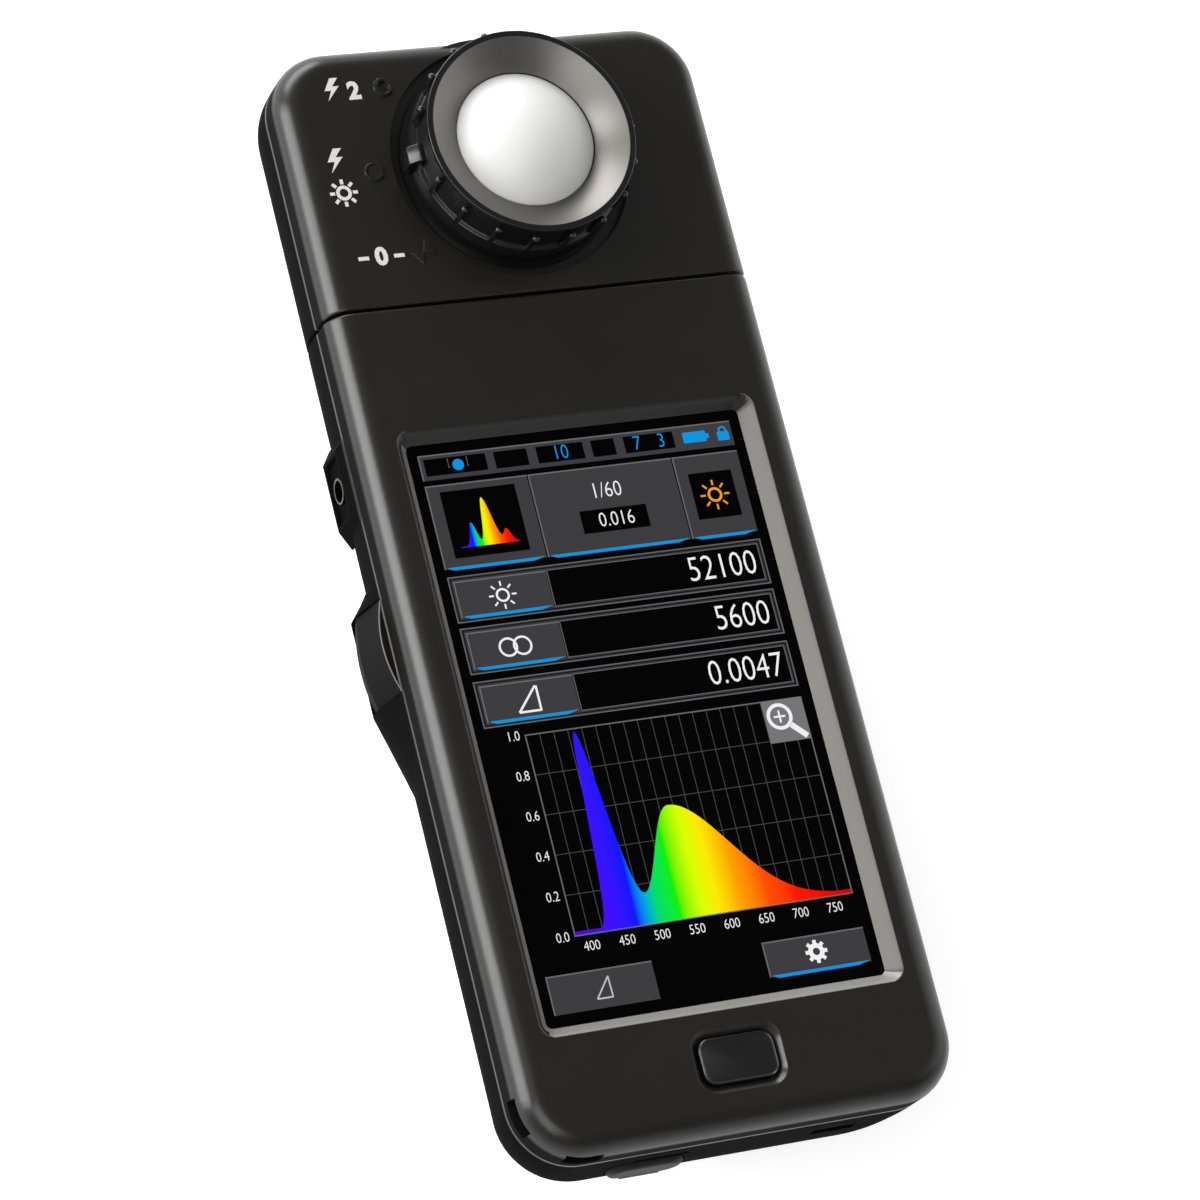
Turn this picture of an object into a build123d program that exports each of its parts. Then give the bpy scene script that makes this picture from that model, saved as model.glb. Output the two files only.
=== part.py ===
from build123d import *
import math
import os

# Handheld light spectrometer, lying on its back with the screen up. X is to the right, Y is up the
# length toward the light receptor, Z is out of the screen. The origin is on the back plane, at
# mid-length on the centre line. All lengths are in millimetres.

os.makedirs("parts", exist_ok=True)

# Driving dimensions of the whole device
device_width = 73.0
device_length = 183.0
device_depth = 27.0
corner_radius = 10.0
wall = 1.8
parting_height = 19.8
front_edge_share = 4.0 / 7.2
side_curve_in = 15.0
side_curve_up = 18.0
end_curve_in = 6.0
end_curve_up = 9.0
corner_softening_share = 0.35
curve_steps = 6
quarter_turn = 90
head_length = 45.2
battery_cover_length = 54.2
split_gap = 0.5
split_edge_round = 0.4
overrun = 1.0
fit_gap = 0.15
loose_gap = 0.3
running_gap = 0.05
seat_gap = 0.1

# Places that follow from them
half_width = device_width / 2
half_length = device_length / 2
split_y = half_length - head_length
battery_edge_y = battery_cover_length - half_length
middle_length = split_y - battery_edge_y
front_depth = device_depth - parting_height
front_edge_radius = front_depth * front_edge_share
body_end = split_y - split_gap / 2
head_start = split_y + split_gap / 2
front_underside = device_depth - wall

# Screw sizes shared by the whole device
screw_radius = 1.0
screw_head_radius = 1.9
screw_head_height = 1.6
screw_hole_gap = 0.02
screw_pass_radius = 1.2
screw_well_radius = 2.2
front_boss_radius = 2.4
rear_boss_radius = 3.1
screw_seat_height = 6.0
screw_reach = 4.6

# Display and its window
window_side_rim = 5.9
window_top_rim = 20.65
window_bottom_rim = 18.55
window_side_slope = 2.0
window_end_slope = 1.75
window_high_y = split_y - window_top_rim
window_low_y = window_bottom_rim - half_length
window_centre_y = (window_high_y + window_low_y) / 2
window_outer_width = device_width - 2 * window_side_rim
window_outer_length = window_high_y - window_low_y
window_outer_radius = 2.4
window_inner_width = window_outer_width - 2 * window_side_slope
window_inner_length = window_outer_length - 2 * window_end_slope
window_inner_radius = 1.0
window_lip_height = 24.55
window_frame_rim = 1.5
gasket_thickness = 0.15
gasket_rim = 1.7
glass_thickness = 1.1
glass_rim = 2.0
lcd_thickness = 3.5
lcd_rim = 1.4
lcd_stack_gap = 0.1
chassis_thickness = 0.8
chassis_side_gap = 1.3
chassis_head_gap = 12.8
chassis_end_gap = 17.0
chassis_top_y = split_y - chassis_head_gap
chassis_bottom_y = chassis_end_gap - half_length

# Menu button below the display
menu_end_gap = 10.9
menu_y = menu_end_gap - half_length
menu_width = 12.6
menu_length = 7.3
menu_radius = 2.0
menu_top = 26.65
menu_edge_round = 0.35
menu_recess_width = 14.9
menu_recess_length = 10.2
menu_recess_radius = 3.0
menu_recess_depth = 0.9
menu_flange_rim = 1.2
menu_flange_thickness = 1.0
button_travel = 0.5
travel_spare = 0.1

# Strap eyelet through the bottom left corner of the front cover
strap_inner_radius = 6.4
strap_outer_radius = 8.4
strap_post_rim = 1.8
strap_low_share = 1.7 / 7.2
strap_high_share = 4.6 / 7.2
strap_low = parting_height + front_depth * strap_low_share
strap_high = parting_height + front_depth * strap_high_share
strap_block_rim = 0.9
strap_side_slot_length = 5.8
strap_bottom_slot_length = 6.1
strap_side_slot_start = 1.0
strap_bottom_slot_start = 2.3

# Swivel between body and head
swivel_height = device_depth / 2
neck_radius = 5.5
neck_bore_radius = 3.4
neck_flange_radius = 8.5
neck_flange_thickness = 2.0
neck_tail = 3.05
neck_groove_depth = 0.65
clip_radius = 8.5
clip_thickness = 0.8
washer_radius = 9.0
washer_thickness = 1.05
lead_radius = 1.3

# Light receptor and its mode ring
receptor_end_gap = 22.13
receptor_y = half_length - receptor_end_gap
dish_radius = 20.0
dish_depth = 1.75
dish_rim = 1.8
hub_radius = 15.7
hub_bore_radius = 12.1
hub_flange_radius = 18.6
hub_flange_thickness = 1.8
hub_floor_thickness = 1.5
hub_floor_drop = 2.8
hub_stand_out = 7.0
hub_floor_height = device_depth - hub_floor_drop
hub_top = device_depth + hub_stand_out
half_turn = 2 * quarter_turn
hub_screw_count = 3
hub_screw_first_angle = quarter_turn
hub_screw_circle = 17.2
hub_screw_radius = 0.7
hub_screw_head_radius = 1.3
hub_screw_head_height = 1.2
hub_screw_bite = 1.3
ring_foot_radius = 18.3
ring_shoulder_radius = 17.7
ring_shoulder_rise = 4.25
ring_shoulder_height = device_depth + ring_shoulder_rise
ring_wall_radius = 17.0
ring_step_rise = 0.12
ring_top_rise = 2.95
ring_top = hub_top + ring_top_rise
ring_floor_gap = 0.15
rib_pitch_count = 18
rib_width = 0.8
rib_reach_radius = 17.95
rib_ball_radius = 0.62
rib_ball_drop = 0.95
rib_ball_height = ring_top - rib_ball_drop
pointer_width = 3.0
pointer_reach_radius = 19.3
pointer_low_rise = 1.6
pointer_high_rise = 6.6
pointer_low = device_depth + pointer_low_rise
pointer_high = device_depth + pointer_high_rise
pointer_slope = 1.3
mode_step_angle = 38.0
mark_circle_radius = 23.35
mark_radius = 1.6
mark_hollow_radius = 1.0
mark_rise = 0.25
mark_hollow_depth = 0.5
index_length = 3.2
index_width = 2.6
index_rise = 0.2
cone_lip_radius = 17.4
cone_mouth_radius = 16.45
cone_top_rise = 4.2
cone_top = hub_top + cone_top_rise
cone_lip_thickness = 1.05
cone_throat_radius = 11.55
cone_throat_rise = 0.75
cone_throat_height = hub_top + cone_throat_rise
cone_tube_gap = 0.1
dome_stand_out = 6.0
dome_height = hub_top + dome_stand_out
dome_thickness = 1.2
dome_flange_radius = 13.0
dome_flange_thickness = 0.9
dome_throat_gap = 0.15
seal_thickness = 0.5
seal_width = 0.8
disc_radius = 11.8
disc_thickness = 1.4
disc_lift = 4.2
disc_height = hub_floor_height + disc_lift
disc_pivot_radius = 1.5
disc_shoulder_radius = 2.6
aperture_offset = 8.0
aperture_radius = 2.2
aperture_angle = 3 * quarter_turn
filter_radius = 2.6
filter_thickness = 0.8
drive_pin_radius = 0.8
drive_pin_inset = 1.3
drive_pin_bite = 0.9
drive_slot_spare_angle = 5.0

# Light guide and measuring optics in the head
guide_radius = 2.0
guide_disc_gap = 0.9
optics_half_width = 20.0
optics_low_gap = 6.9
optics_high_gap = 34.7
optics_low_y = split_y + optics_low_gap
optics_high_y = split_y + optics_high_gap
optics_floor = 4.0
optics_top = 17.0
optics_wall = 2.0
optics_lid_thickness = 1.6
optics_foot_radius = 2.0
optics_foot_inset = 4.0
slit_plate_size = 8.0
slit_plate_thickness = 0.4
slit_width = 0.3
slit_length = 3.0
mirror_size = 6.0
grating_width = 12.0
grating_depth = 4.0
grating_height = 9.0
grating_curve_radius = 30.0
grating_curve_depth = 0.8
sensor_width = 12.0
sensor_height = 6.0
sensor_depth = 4.0
sensor_wall_gap = 2.0
sensor_offset_x = optics_half_width - optics_wall - sensor_wall_gap - sensor_width / 2
sensor_board_thickness = 1.2
board_gap = 0.1

# Boards in the body
main_board_height = 17.5
main_board_thickness = 1.0
main_board_half_width = 29.5
main_board_head_gap = 19.3
main_board_end_gap = 17.7
main_board_top_y = split_y - main_board_head_gap
main_board_bottom_y = main_board_end_gap - half_length
board_tab_half_width = 12.0
board_tab_end_gap = 5.0
board_tab_bottom_y = board_tab_end_gap - half_length
tact_switch_size = 6.0
tact_switch_body = 3.4
tact_plunger_radius = 1.5
low_switch_body = 2.4
side_board_thickness = 1.0
side_board_inner_x = 28.0
side_board_low_z = 7.6
side_board_margin = 6.0
shield_width = 30.0
shield_height = 2.8
shield_skin = 0.4
shield_x = -10.0
shield_length_share = 24.0 / 83.6
shield_length = middle_length * shield_length_share
shield_share = 29.3 / 83.6
shield_y = battery_edge_y + middle_length * shield_share
buzzer_radius = 6.0
buzzer_height = 2.4
buzzer_port_radius = 1.0
buzzer_x = 14.0
buzzer_share = 41.3 / 83.6
buzzer_y = battery_edge_y + middle_length * buzzer_share
connector_half_width = 4.0
connector_length = 5.0
connector_head_gap = 12.3
connector_end_y = split_y - connector_head_gap
connector_low_z = 11.4

# Button housings on both sides of the rear cover
key_share = 30.95 / 83.6
key_centre_y = battery_edge_y + middle_length * key_share
key_length = 15.2
key_low = 8.2
key_wide_height = 11.5
key_seam_bulge = 1.45
key_wide_bulge = 0.95
key_wide_reach = 1.45
key_low_reach = 0.7
key_inner_reach = 1.6
key_flange_rim = 1.3
key_flange_thickness = 0.9
key_pocket_spare = 0.6
housing_upper_ramp = 4.2
housing_lower_ramp = 15.7
housing_root_depth = 4.5
housing_sink = 0.3
housing_top_reach = 0.0
housing_upper_reach = 1.05
housing_wide_reach = 1.7
housing_low_reach = 1.15
housing_upper_height = 15.6
housing_low_height = 7.6
housing_heel_height = 4.0
housing_foot_height = 1.6
housing_heel_depth = 1.4
housing_foot_depth = 5.8

# Terminal boss on the left and power button boss on the right
terminal_drop = 5.2
terminal_height = parting_height - terminal_drop
boss_face_half_height = 3.4
boss_face_low = terminal_height - boss_face_half_height
boss_face_high = terminal_height + boss_face_half_height
boss_base_drop = 4.8
boss_base_low = terminal_height - boss_base_drop
boss_share = 58.6 / 83.6
boss_centre_y = battery_edge_y + middle_length * boss_share
boss_base_length = 16.8
boss_face_length = 11.2
boss_rise = 0.9
boss_root = 1.2
boss_top_slope = 2.0
boss_pocket_rim = 0.55
boss_pocket_depth = 0.8
terminal_sleeve_radius = 2.1
terminal_bore_radius = 1.75
terminal_depth = 5.0
terminal_stand_out = 0.5
contact_radius = 0.9
contact_hole_radius = 0.35
contact_length = 3.6
contact_core_radius = 1.7
contact_core_thickness = 1.2
power_key_length = 8.4
power_key_height = 4.2
power_key_radius = 1.9
power_key_stand_out = 0.5

# USB socket and its rubber flap in the bottom end
usb_x = -13.0
usb_flap_width = 12.4
usb_flap_low = 8.2
usb_flap_high = 14.3
usb_flap_corner = 2.9
usb_flap_bulge = 0.9
usb_flap_seat_depth = 0.9
usb_hinge_stand_out = 0.5
usb_hinge_radius = 0.4
usb_plug_width = 8.0
usb_plug_height = 3.4
usb_plug_depth = 0.9
usb_mouth_width = 9.4
usb_mouth_spare = 0.5
usb_socket_width = 7.7
usb_socket_height = 3.9
usb_socket_length = 8.0
usb_socket_skin = 0.35
usb_tongue_height = 1.3
usb_tongue_side_skins = 3
usb_board_width = 15.0
usb_board_length = 10.0
usb_board_thickness = 1.0
usb_stack_width = 8.0
usb_stack_length = 3.0
nail_slot_length = 9.2
nail_slot_height = 1.0
nail_slot_depth = 1.1
nail_slot_rise = 0.2
nail_slot_x = -11.5

# Battery compartment
battery_parting = 7.0
battery_side_parting = 10.3
battery_side_x = 24.0
cell_radius = 7.25
cell_length = 50.5
cell_cap_radius = 2.75
cell_cap_length = 1.0
cell_pitch = 14.8
cell_outer_x = 20.6
cell_height = 9.6
cell_end_gap = 10.7
cell_low_y = cell_end_gap - half_length
spring_wire = 0.8
spring_radius = 3.6
spring_length = 2.7
spring_turns = 3
contact_plate_thickness = 0.5
contact_plate_width = 10.0
contact_plate_height = 9.0
tray_wall = 0.7
tray_inner_wall = 1.0
tray_end_wall = 1.0
tray_roof = 0.5
tray_low = 7.3
tray_cell_gap = 0.1
tray_panel_x = -29.8
tray_panel_thickness = 1.0
tray_post_radius = 2.0
tray_screw_x = -26.2
tray_screw_end_gap = 13.9
tray_screw_y = tray_screw_end_gap - half_length
cover_tongue_low_x = -20.0
cover_tongue_high_x = -5.0
cover_tongue_length = 2.4
cover_tongue_thickness = 0.8
cover_grip_count = 5
cover_grip_pitch = 2.2
cover_grip_width = 22.0
cover_grip_depth = 0.35
cover_grip_thickness = 0.9
cover_grip_inset = 6.7
cover_grip_y = battery_edge_y - cover_grip_inset

# Lock slider for the battery cover, behind the right slot in the bottom end
lock_slot_x = 18.1
lock_slot_height = 13.75
lock_slot_width = 7.4
lock_slot_opening = 2.4
lock_knob_width = 3.8
lock_knob_recess = 1.0
lock_travel = 3.0
lock_plate_thickness = 1.75
lock_plate_margin = 1.6
lock_tail_width = 3.0
lock_tail_thickness = 0.7
lock_tail_low = 5.6
cover_lug_thickness = 0.7
cover_lug_width = 4.0
cover_lug_top = 6.6

# Things on the back
bush_share = 49.3 / 83.6
bush_y = battery_edge_y + middle_length * bush_share
bush_radius = 4.6
bush_bore_radius = 2.6
bush_length = 7.5
bush_boss_rim = 1.8
label_share = 21.3 / 83.6
label_y = battery_edge_y + middle_length * label_share
label_width = 36.0
label_length = 20.0
label_radius = 1.5
label_thickness = 0.3
chassis_post_radius = 2.2
chassis_post_x = 25.0
chassis_post_gap = 15.9
chassis_post_y = split_y - chassis_post_gap
body_screw_x = 28.2
body_screw_gap = 6.7
body_screw_y = split_y - body_screw_gap
head_screw_x = 27.8
head_screw_low_gap = 7.1
head_screw_end_gap = 7.3
head_screw_low_y = split_y + head_screw_low_gap
head_screw_high_y = half_length - head_screw_end_gap


def block(x_low, x_high, y_low, y_high, z_low, z_high, mode=Mode.ADD):
    """Makes a box between two corners."""
    middle = ((x_low + x_high) / 2, (y_low + y_high) / 2, (z_low + z_high) / 2)
    with Locations(middle):
        Box(x_high - x_low, y_high - y_low, z_high - z_low, mode=mode)


def upright(x, y, radius, z_low, z_high, mode=Mode.ADD):
    """Makes a cylinder that stands between two heights."""
    with Locations((x, y, (z_low + z_high) / 2)):
        Cylinder(radius, z_high - z_low, mode=mode)


def along_y(x, z, radius, y_low, y_high, mode=Mode.ADD):
    """Makes a cylinder that lies along the device's length."""
    with Locations(Location((x, (y_low + y_high) / 2, z), (quarter_turn, 0, 0))):
        Cylinder(radius, y_high - y_low, mode=mode)


def along_x(y, z, radius, x_low, x_high, mode=Mode.ADD):
    """Makes a cylinder that lies across the device."""
    with Locations(Location(((x_low + x_high) / 2, y, z), (0, quarter_turn, 0))):
        Cylinder(radius, x_high - x_low, mode=mode)


def around(radius, angle):
    """Gives the place at a radius and an angle about the receptor's axis."""
    turn = math.radians(angle)
    return (radius * math.cos(turn), receptor_y + radius * math.sin(turn))


def drawn_in(height, across, up):
    """Says how far an elliptical rounding has drawn in at a height above the back."""
    if height >= up:
        return 0
    return across * (1 - math.sqrt(1 - (1 - height / up) ** 2))


def back_solid(skin):
    """Makes the solid behind the parting plane, a skin's thickness in from the outside."""
    side_up = side_curve_up - skin
    with BuildPart() as solid:
        for step in range(curve_steps + 1):
            height = side_up * (1 - math.sin(math.radians(quarter_turn * step / curve_steps)))
            side = drawn_in(height, side_curve_in, side_up)
            end = drawn_in(height, end_curve_in, end_curve_up - skin)
            with BuildSketch(Plane.XY.offset(skin + height)):
                RectangleRounded(
                    device_width - 2 * (skin + side),
                    device_length - 2 * (skin + end),
                    corner_radius - skin + corner_softening_share * side,
                )
        loft()
        with BuildSketch(Plane.XY.offset(side_curve_up)):
            RectangleRounded(device_width - 2 * skin, device_length - 2 * skin, corner_radius - skin)
        extrude(amount=parting_height - side_curve_up)
    return solid.part


def front_solid(skin):
    """Makes the solid before the parting plane, a skin's thickness in from the outside."""
    with BuildPart() as solid:
        with BuildSketch(Plane.XY.offset(parting_height)):
            RectangleRounded(device_width - 2 * skin, device_length - 2 * skin, corner_radius - skin)
        extrude(amount=device_depth - skin - parting_height)
        fillet(solid.edges().group_by(Axis.Z)[-1], radius=front_edge_radius - skin)
    return solid.part


def trim_y(y_low, y_high):
    """Keeps what lies between two places along the length."""
    block(-device_width, device_width, y_low, y_high, -device_depth, 2 * device_depth, mode=Mode.INTERSECT)


def screw(x, y, head_low, tip, shank, head_radius, head_height):
    """Makes one screw with its head below and its tip above."""
    upright(x, y, head_radius, head_low, head_low + head_height)
    upright(x, y, shank, head_low + head_height, tip)


# The four plain solids that the covers are cut from
outer_back = back_solid(0)
inner_back = back_solid(wall)
outer_front = front_solid(0)
inner_front = front_solid(wall)

with BuildPart() as body_back_room:
    add(inner_back)
    trim_y(-device_length, body_end - wall)

with BuildPart() as body_front_room:
    add(inner_front)
    trim_y(-device_length, body_end - wall)

with BuildPart() as head_back_room:
    add(inner_back)
    trim_y(head_start + wall, device_length)

with BuildPart() as head_front_room:
    add(inner_front)
    trim_y(head_start + wall, device_length)


# Body front cover: window frame, menu button opening, strap eyelet and screw bosses
screw_tip = parting_height + screw_reach
strap_centre_x = -half_width + corner_radius
strap_centre_y = -half_length + corner_radius
strap_fill_radius = corner_radius - strap_block_rim
strap_block_low = strap_low - strap_block_rim
strap_block_high = strap_high + strap_block_rim
menu_hole_width = menu_width + 2 * loose_gap
menu_hole_length = menu_length + 2 * loose_gap
menu_recess_floor = device_depth - menu_recess_depth
body_screw_places = [
    (-body_screw_x, body_screw_y),
    (body_screw_x, body_screw_y),
    (tray_screw_x, tray_screw_y),
]

with BuildPart() as window_frame:
    with BuildSketch(Plane.XY.offset(window_lip_height)):
        with Locations((0, window_centre_y)):
            RectangleRounded(
                window_outer_width + 2 * window_frame_rim,
                window_outer_length + 2 * window_frame_rim,
                window_outer_radius + window_frame_rim,
            )
    extrude(amount=front_underside + wall / 2 - window_lip_height)

with BuildPart() as window_cut:
    with BuildSketch(Plane.XY.offset(window_lip_height)):
        with Locations((0, window_centre_y)):
            RectangleRounded(window_inner_width, window_inner_length, window_inner_radius)
    with BuildSketch(Plane.XY.offset(device_depth)):
        with Locations((0, window_centre_y)):
            RectangleRounded(window_outer_width, window_outer_length, window_outer_radius)
    loft()

with BuildPart() as menu_recess:
    with BuildSketch(Plane.XY.offset(menu_recess_floor)):
        with Locations((0, menu_y)):
            RectangleRounded(menu_hole_width, menu_hole_length, menu_radius + loose_gap)
    with BuildSketch(Plane.XY.offset(device_depth)):
        with Locations((0, menu_y)):
            RectangleRounded(menu_recess_width, menu_recess_length, menu_recess_radius)
    loft()

with BuildPart() as strap_block:
    upright(strap_centre_x, strap_centre_y, strap_fill_radius, strap_block_low, strap_block_high)
    block(
        strap_centre_x,
        strap_centre_x + strap_fill_radius,
        strap_centre_y - strap_fill_radius,
        strap_centre_y + strap_fill_radius,
        strap_block_low,
        strap_block_high,
    )
    block(
        strap_centre_x - strap_fill_radius,
        strap_centre_x,
        strap_centre_y,
        strap_centre_y + strap_fill_radius,
        strap_block_low,
        strap_block_high,
    )
    block(
        -half_width,
        strap_centre_x + strap_bottom_slot_start + strap_block_rim,
        -half_length,
        strap_centre_y + strap_side_slot_start + strap_block_rim,
        strap_block_low,
        strap_block_high,
        mode=Mode.INTERSECT,
    )
    upright(
        strap_centre_x,
        strap_centre_y,
        strap_inner_radius - strap_post_rim,
        strap_block_low,
        strap_block_high,
        mode=Mode.SUBTRACT,
    )

with BuildPart() as strap_way:
    upright(strap_centre_x, strap_centre_y, strap_outer_radius, strap_low, strap_high)
    upright(strap_centre_x, strap_centre_y, strap_inner_radius, strap_low, strap_high, mode=Mode.SUBTRACT)
    block(
        -half_width,
        strap_centre_x,
        -half_length,
        strap_centre_y,
        strap_low,
        strap_high,
        mode=Mode.INTERSECT,
    )
    block(
        -half_width - overrun,
        strap_centre_x - strap_inner_radius,
        strap_centre_y + strap_side_slot_start - strap_side_slot_length,
        strap_centre_y + strap_side_slot_start,
        strap_low,
        strap_high,
    )
    block(
        strap_centre_x + strap_bottom_slot_start - strap_bottom_slot_length,
        strap_centre_x + strap_bottom_slot_start,
        -half_length - overrun,
        strap_centre_y - strap_inner_radius,
        strap_low,
        strap_high,
    )

with BuildPart() as body_front_cover:
    add(outer_front)
    trim_y(-device_length, body_end)
    end_edges = body_front_cover.faces().sort_by(Axis.Y)[-1].edges()
    upper_edges = end_edges.filter_by(lambda edge: edge.center().Z > parting_height + overrun)
    fillet(upper_edges, radius=split_edge_round)
    add(body_front_room.part, mode=Mode.SUBTRACT)
    along_y(
        0,
        swivel_height,
        neck_radius + running_gap,
        body_end - wall - overrun,
        body_end + overrun,
        mode=Mode.SUBTRACT,
    )
    add(window_frame.part)
    add(window_cut.part, mode=Mode.SUBTRACT)
    add(strap_block.part)
    add(strap_way.part, mode=Mode.SUBTRACT)
    add(menu_recess.part, mode=Mode.SUBTRACT)
    with BuildSketch(Plane.XY.offset(parting_height)):
        with Locations((0, menu_y)):
            RectangleRounded(menu_hole_width, menu_hole_length, menu_radius + loose_gap)
    extrude(amount=device_depth - parting_height, mode=Mode.SUBTRACT)
    for place_x, place_y in body_screw_places:
        upright(place_x, place_y, front_boss_radius, parting_height, front_underside + wall / 2)
        upright(
            place_x,
            place_y,
            screw_radius + screw_hole_gap,
            parting_height - overrun,
            screw_tip + seat_gap,
            mode=Mode.SUBTRACT,
        )
body_front_cover.part.label = "body_front_cover"
export_step(body_front_cover.part, "parts/body_front_cover.step")


# Display stack under the window: gasket, touch glass, display module and its carrier plate
glass_top = window_lip_height - gasket_thickness
glass_bottom = glass_top - glass_thickness
lcd_top = glass_bottom - lcd_stack_gap
lcd_bottom = lcd_top - lcd_thickness
chassis_top = lcd_bottom - lcd_stack_gap
chassis_bottom = chassis_top - chassis_thickness

with BuildPart() as window_gasket:
    with BuildSketch(Plane.XY.offset(glass_top)):
        with Locations((0, window_centre_y)):
            RectangleRounded(
                window_inner_width + 2 * gasket_rim,
                window_inner_length + 2 * gasket_rim,
                window_outer_radius,
            )
            RectangleRounded(window_inner_width, window_inner_length, window_inner_radius, mode=Mode.SUBTRACT)
    extrude(amount=gasket_thickness)
window_gasket.part.label = "window_gasket"
export_step(window_gasket.part, "parts/window_gasket.step")

with BuildPart() as touch_glass:
    with BuildSketch(Plane.XY.offset(glass_bottom)):
        with Locations((0, window_centre_y)):
            RectangleRounded(
                window_inner_width + 2 * glass_rim, window_inner_length + 2 * glass_rim, window_inner_radius
            )
    extrude(amount=glass_thickness)
touch_glass.part.label = "touch_glass"
export_step(touch_glass.part, "parts/touch_glass.step")

with BuildPart() as display_module:
    with BuildSketch(Plane.XY.offset(lcd_bottom)):
        with Locations((0, window_centre_y)):
            Rectangle(window_inner_width + 2 * lcd_rim, window_inner_length + 2 * lcd_rim)
    extrude(amount=lcd_thickness)
display_module.part.label = "display_module"
export_step(display_module.part, "parts/display_module.step")

with BuildPart() as display_chassis:
    block(
        -half_width + wall + chassis_side_gap,
        half_width - wall - chassis_side_gap,
        chassis_bottom_y,
        chassis_top_y,
        chassis_bottom,
        chassis_top,
    )
display_chassis.part.label = "display_chassis"
export_step(display_chassis.part, "parts/display_chassis.step")


# Menu button: a key that is pushed into the front, with a flange behind the cover
menu_flange_top = front_underside - seat_gap
menu_flange_bottom = menu_flange_top - menu_flange_thickness

with BuildPart() as menu_button:
    with BuildSketch(Plane.XY.offset(menu_flange_bottom)):
        with Locations((0, menu_y)):
            RectangleRounded(
                menu_width + 2 * menu_flange_rim,
                menu_length + 2 * menu_flange_rim,
                menu_radius + menu_flange_rim,
            )
    extrude(amount=menu_flange_thickness)
    with BuildSketch(Plane.XY.offset(menu_flange_top)):
        with Locations((0, menu_y)):
            RectangleRounded(menu_width, menu_length, menu_radius)
    extrude(amount=menu_top - menu_flange_top)
    fillet(menu_button.edges().group_by(Axis.Z)[-1], radius=menu_edge_round)
menu_button.part.label = "menu_button"
export_step(menu_button.part, "parts/menu_button.step")


# Main board under the display, with a tab that reaches below the menu button
main_board_top = main_board_height + main_board_thickness
tray_post_y = main_board_bottom_y + side_board_margin
cell_inner_x = cell_outer_x - cell_pitch
tray_post_places = [(-chassis_post_x, tray_post_y), ((cell_outer_x + cell_inner_x) / 2, tray_post_y)]
post_hole_radius = tray_post_radius + loose_gap

with BuildPart() as main_board:
    block(
        -main_board_half_width,
        main_board_half_width,
        main_board_bottom_y,
        main_board_top_y,
        main_board_height,
        main_board_top,
    )
    block(
        -board_tab_half_width,
        board_tab_half_width,
        board_tab_bottom_y,
        main_board_bottom_y,
        main_board_height,
        main_board_top,
    )
    for place_x, place_y in tray_post_places:
        upright(
            place_x,
            place_y,
            post_hole_radius,
            main_board_height - overrun,
            main_board_top + overrun,
            mode=Mode.SUBTRACT,
        )
main_board.part.label = "main_board"
export_step(main_board.part, "parts/main_board.step")

menu_plunger_top = menu_flange_bottom - button_travel - travel_spare
with BuildPart() as menu_switch:
    block(
        -tact_switch_size / 2,
        tact_switch_size / 2,
        menu_y - tact_switch_size / 2,
        menu_y + tact_switch_size / 2,
        main_board_top,
        main_board_top + tact_switch_body,
    )
    upright(0, menu_y, tact_plunger_radius, main_board_top + tact_switch_body, menu_plunger_top)
menu_switch.part.label = "menu_switch"
export_step(menu_switch.part, "parts/menu_switch.step")

with BuildPart() as processor_shield:
    block(
        shield_x - shield_width / 2,
        shield_x + shield_width / 2,
        shield_y - shield_length / 2,
        shield_y + shield_length / 2,
        main_board_height - shield_height,
        main_board_height,
    )
    block(
        shield_x - shield_width / 2 + shield_skin,
        shield_x + shield_width / 2 - shield_skin,
        shield_y - shield_length / 2 + shield_skin,
        shield_y + shield_length / 2 - shield_skin,
        main_board_height - shield_height + shield_skin,
        main_board_height + overrun,
        mode=Mode.SUBTRACT,
    )
processor_shield.part.label = "processor_shield"
export_step(processor_shield.part, "parts/processor_shield.step")

with BuildPart() as buzzer:
    upright(buzzer_x, buzzer_y, buzzer_radius, main_board_height - buzzer_height, main_board_height)
    upright(
        buzzer_x,
        buzzer_y,
        buzzer_port_radius,
        main_board_height - buzzer_height - overrun,
        main_board_height - buzzer_height / 2,
        mode=Mode.SUBTRACT,
    )
buzzer.part.label = "buzzer"
export_step(buzzer.part, "parts/buzzer.step")


# Bosses and housings on the two sides of the rear cover, made on the left and mirrored
key_low_y = key_centre_y - key_length / 2
key_high_y = key_centre_y + key_length / 2


def shell_x(height):
    """Says how far from the centre line the rear cover's side lies at a height."""
    return half_width - drawn_in(height, side_curve_in, side_curve_up)


def inner_shell_x(height):
    """Says how far from the centre line the inside of the rear cover's side lies at a height."""
    return half_width - wall - drawn_in(height - wall, side_curve_in, side_curve_up - wall)


def button_housing(side):
    """Makes one of the two swellings that the side buttons sit in, with a ramp at each end."""
    levels = [
        (parting_height, half_width + housing_top_reach),
        (housing_upper_height, half_width + housing_upper_reach),
        (key_wide_height, half_width + housing_wide_reach),
        (housing_low_height, half_width + housing_low_reach),
        (housing_heel_height, half_width - housing_heel_depth),
        (housing_foot_height, half_width - housing_foot_depth),
    ]
    with BuildPart() as swelling:
        for height, reach in levels:
            ramp_x = side * (shell_x(height) - housing_sink)
            face_x = side * reach
            root_x = side * (shell_x(height) - housing_root_depth)
            with BuildSketch(Plane.XY.offset(height)):
                with BuildLine():
                    Polyline(
                        (root_x, key_high_y + housing_upper_ramp),
                        (ramp_x, key_high_y + housing_upper_ramp),
                        (face_x, key_high_y + fit_gap),
                        (face_x, key_low_y - fit_gap),
                        (ramp_x, key_low_y - housing_lower_ramp),
                        (root_x, key_low_y - housing_lower_ramp),
                        close=True,
                    )
                make_face()
        loft()
    return swelling.part


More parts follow.
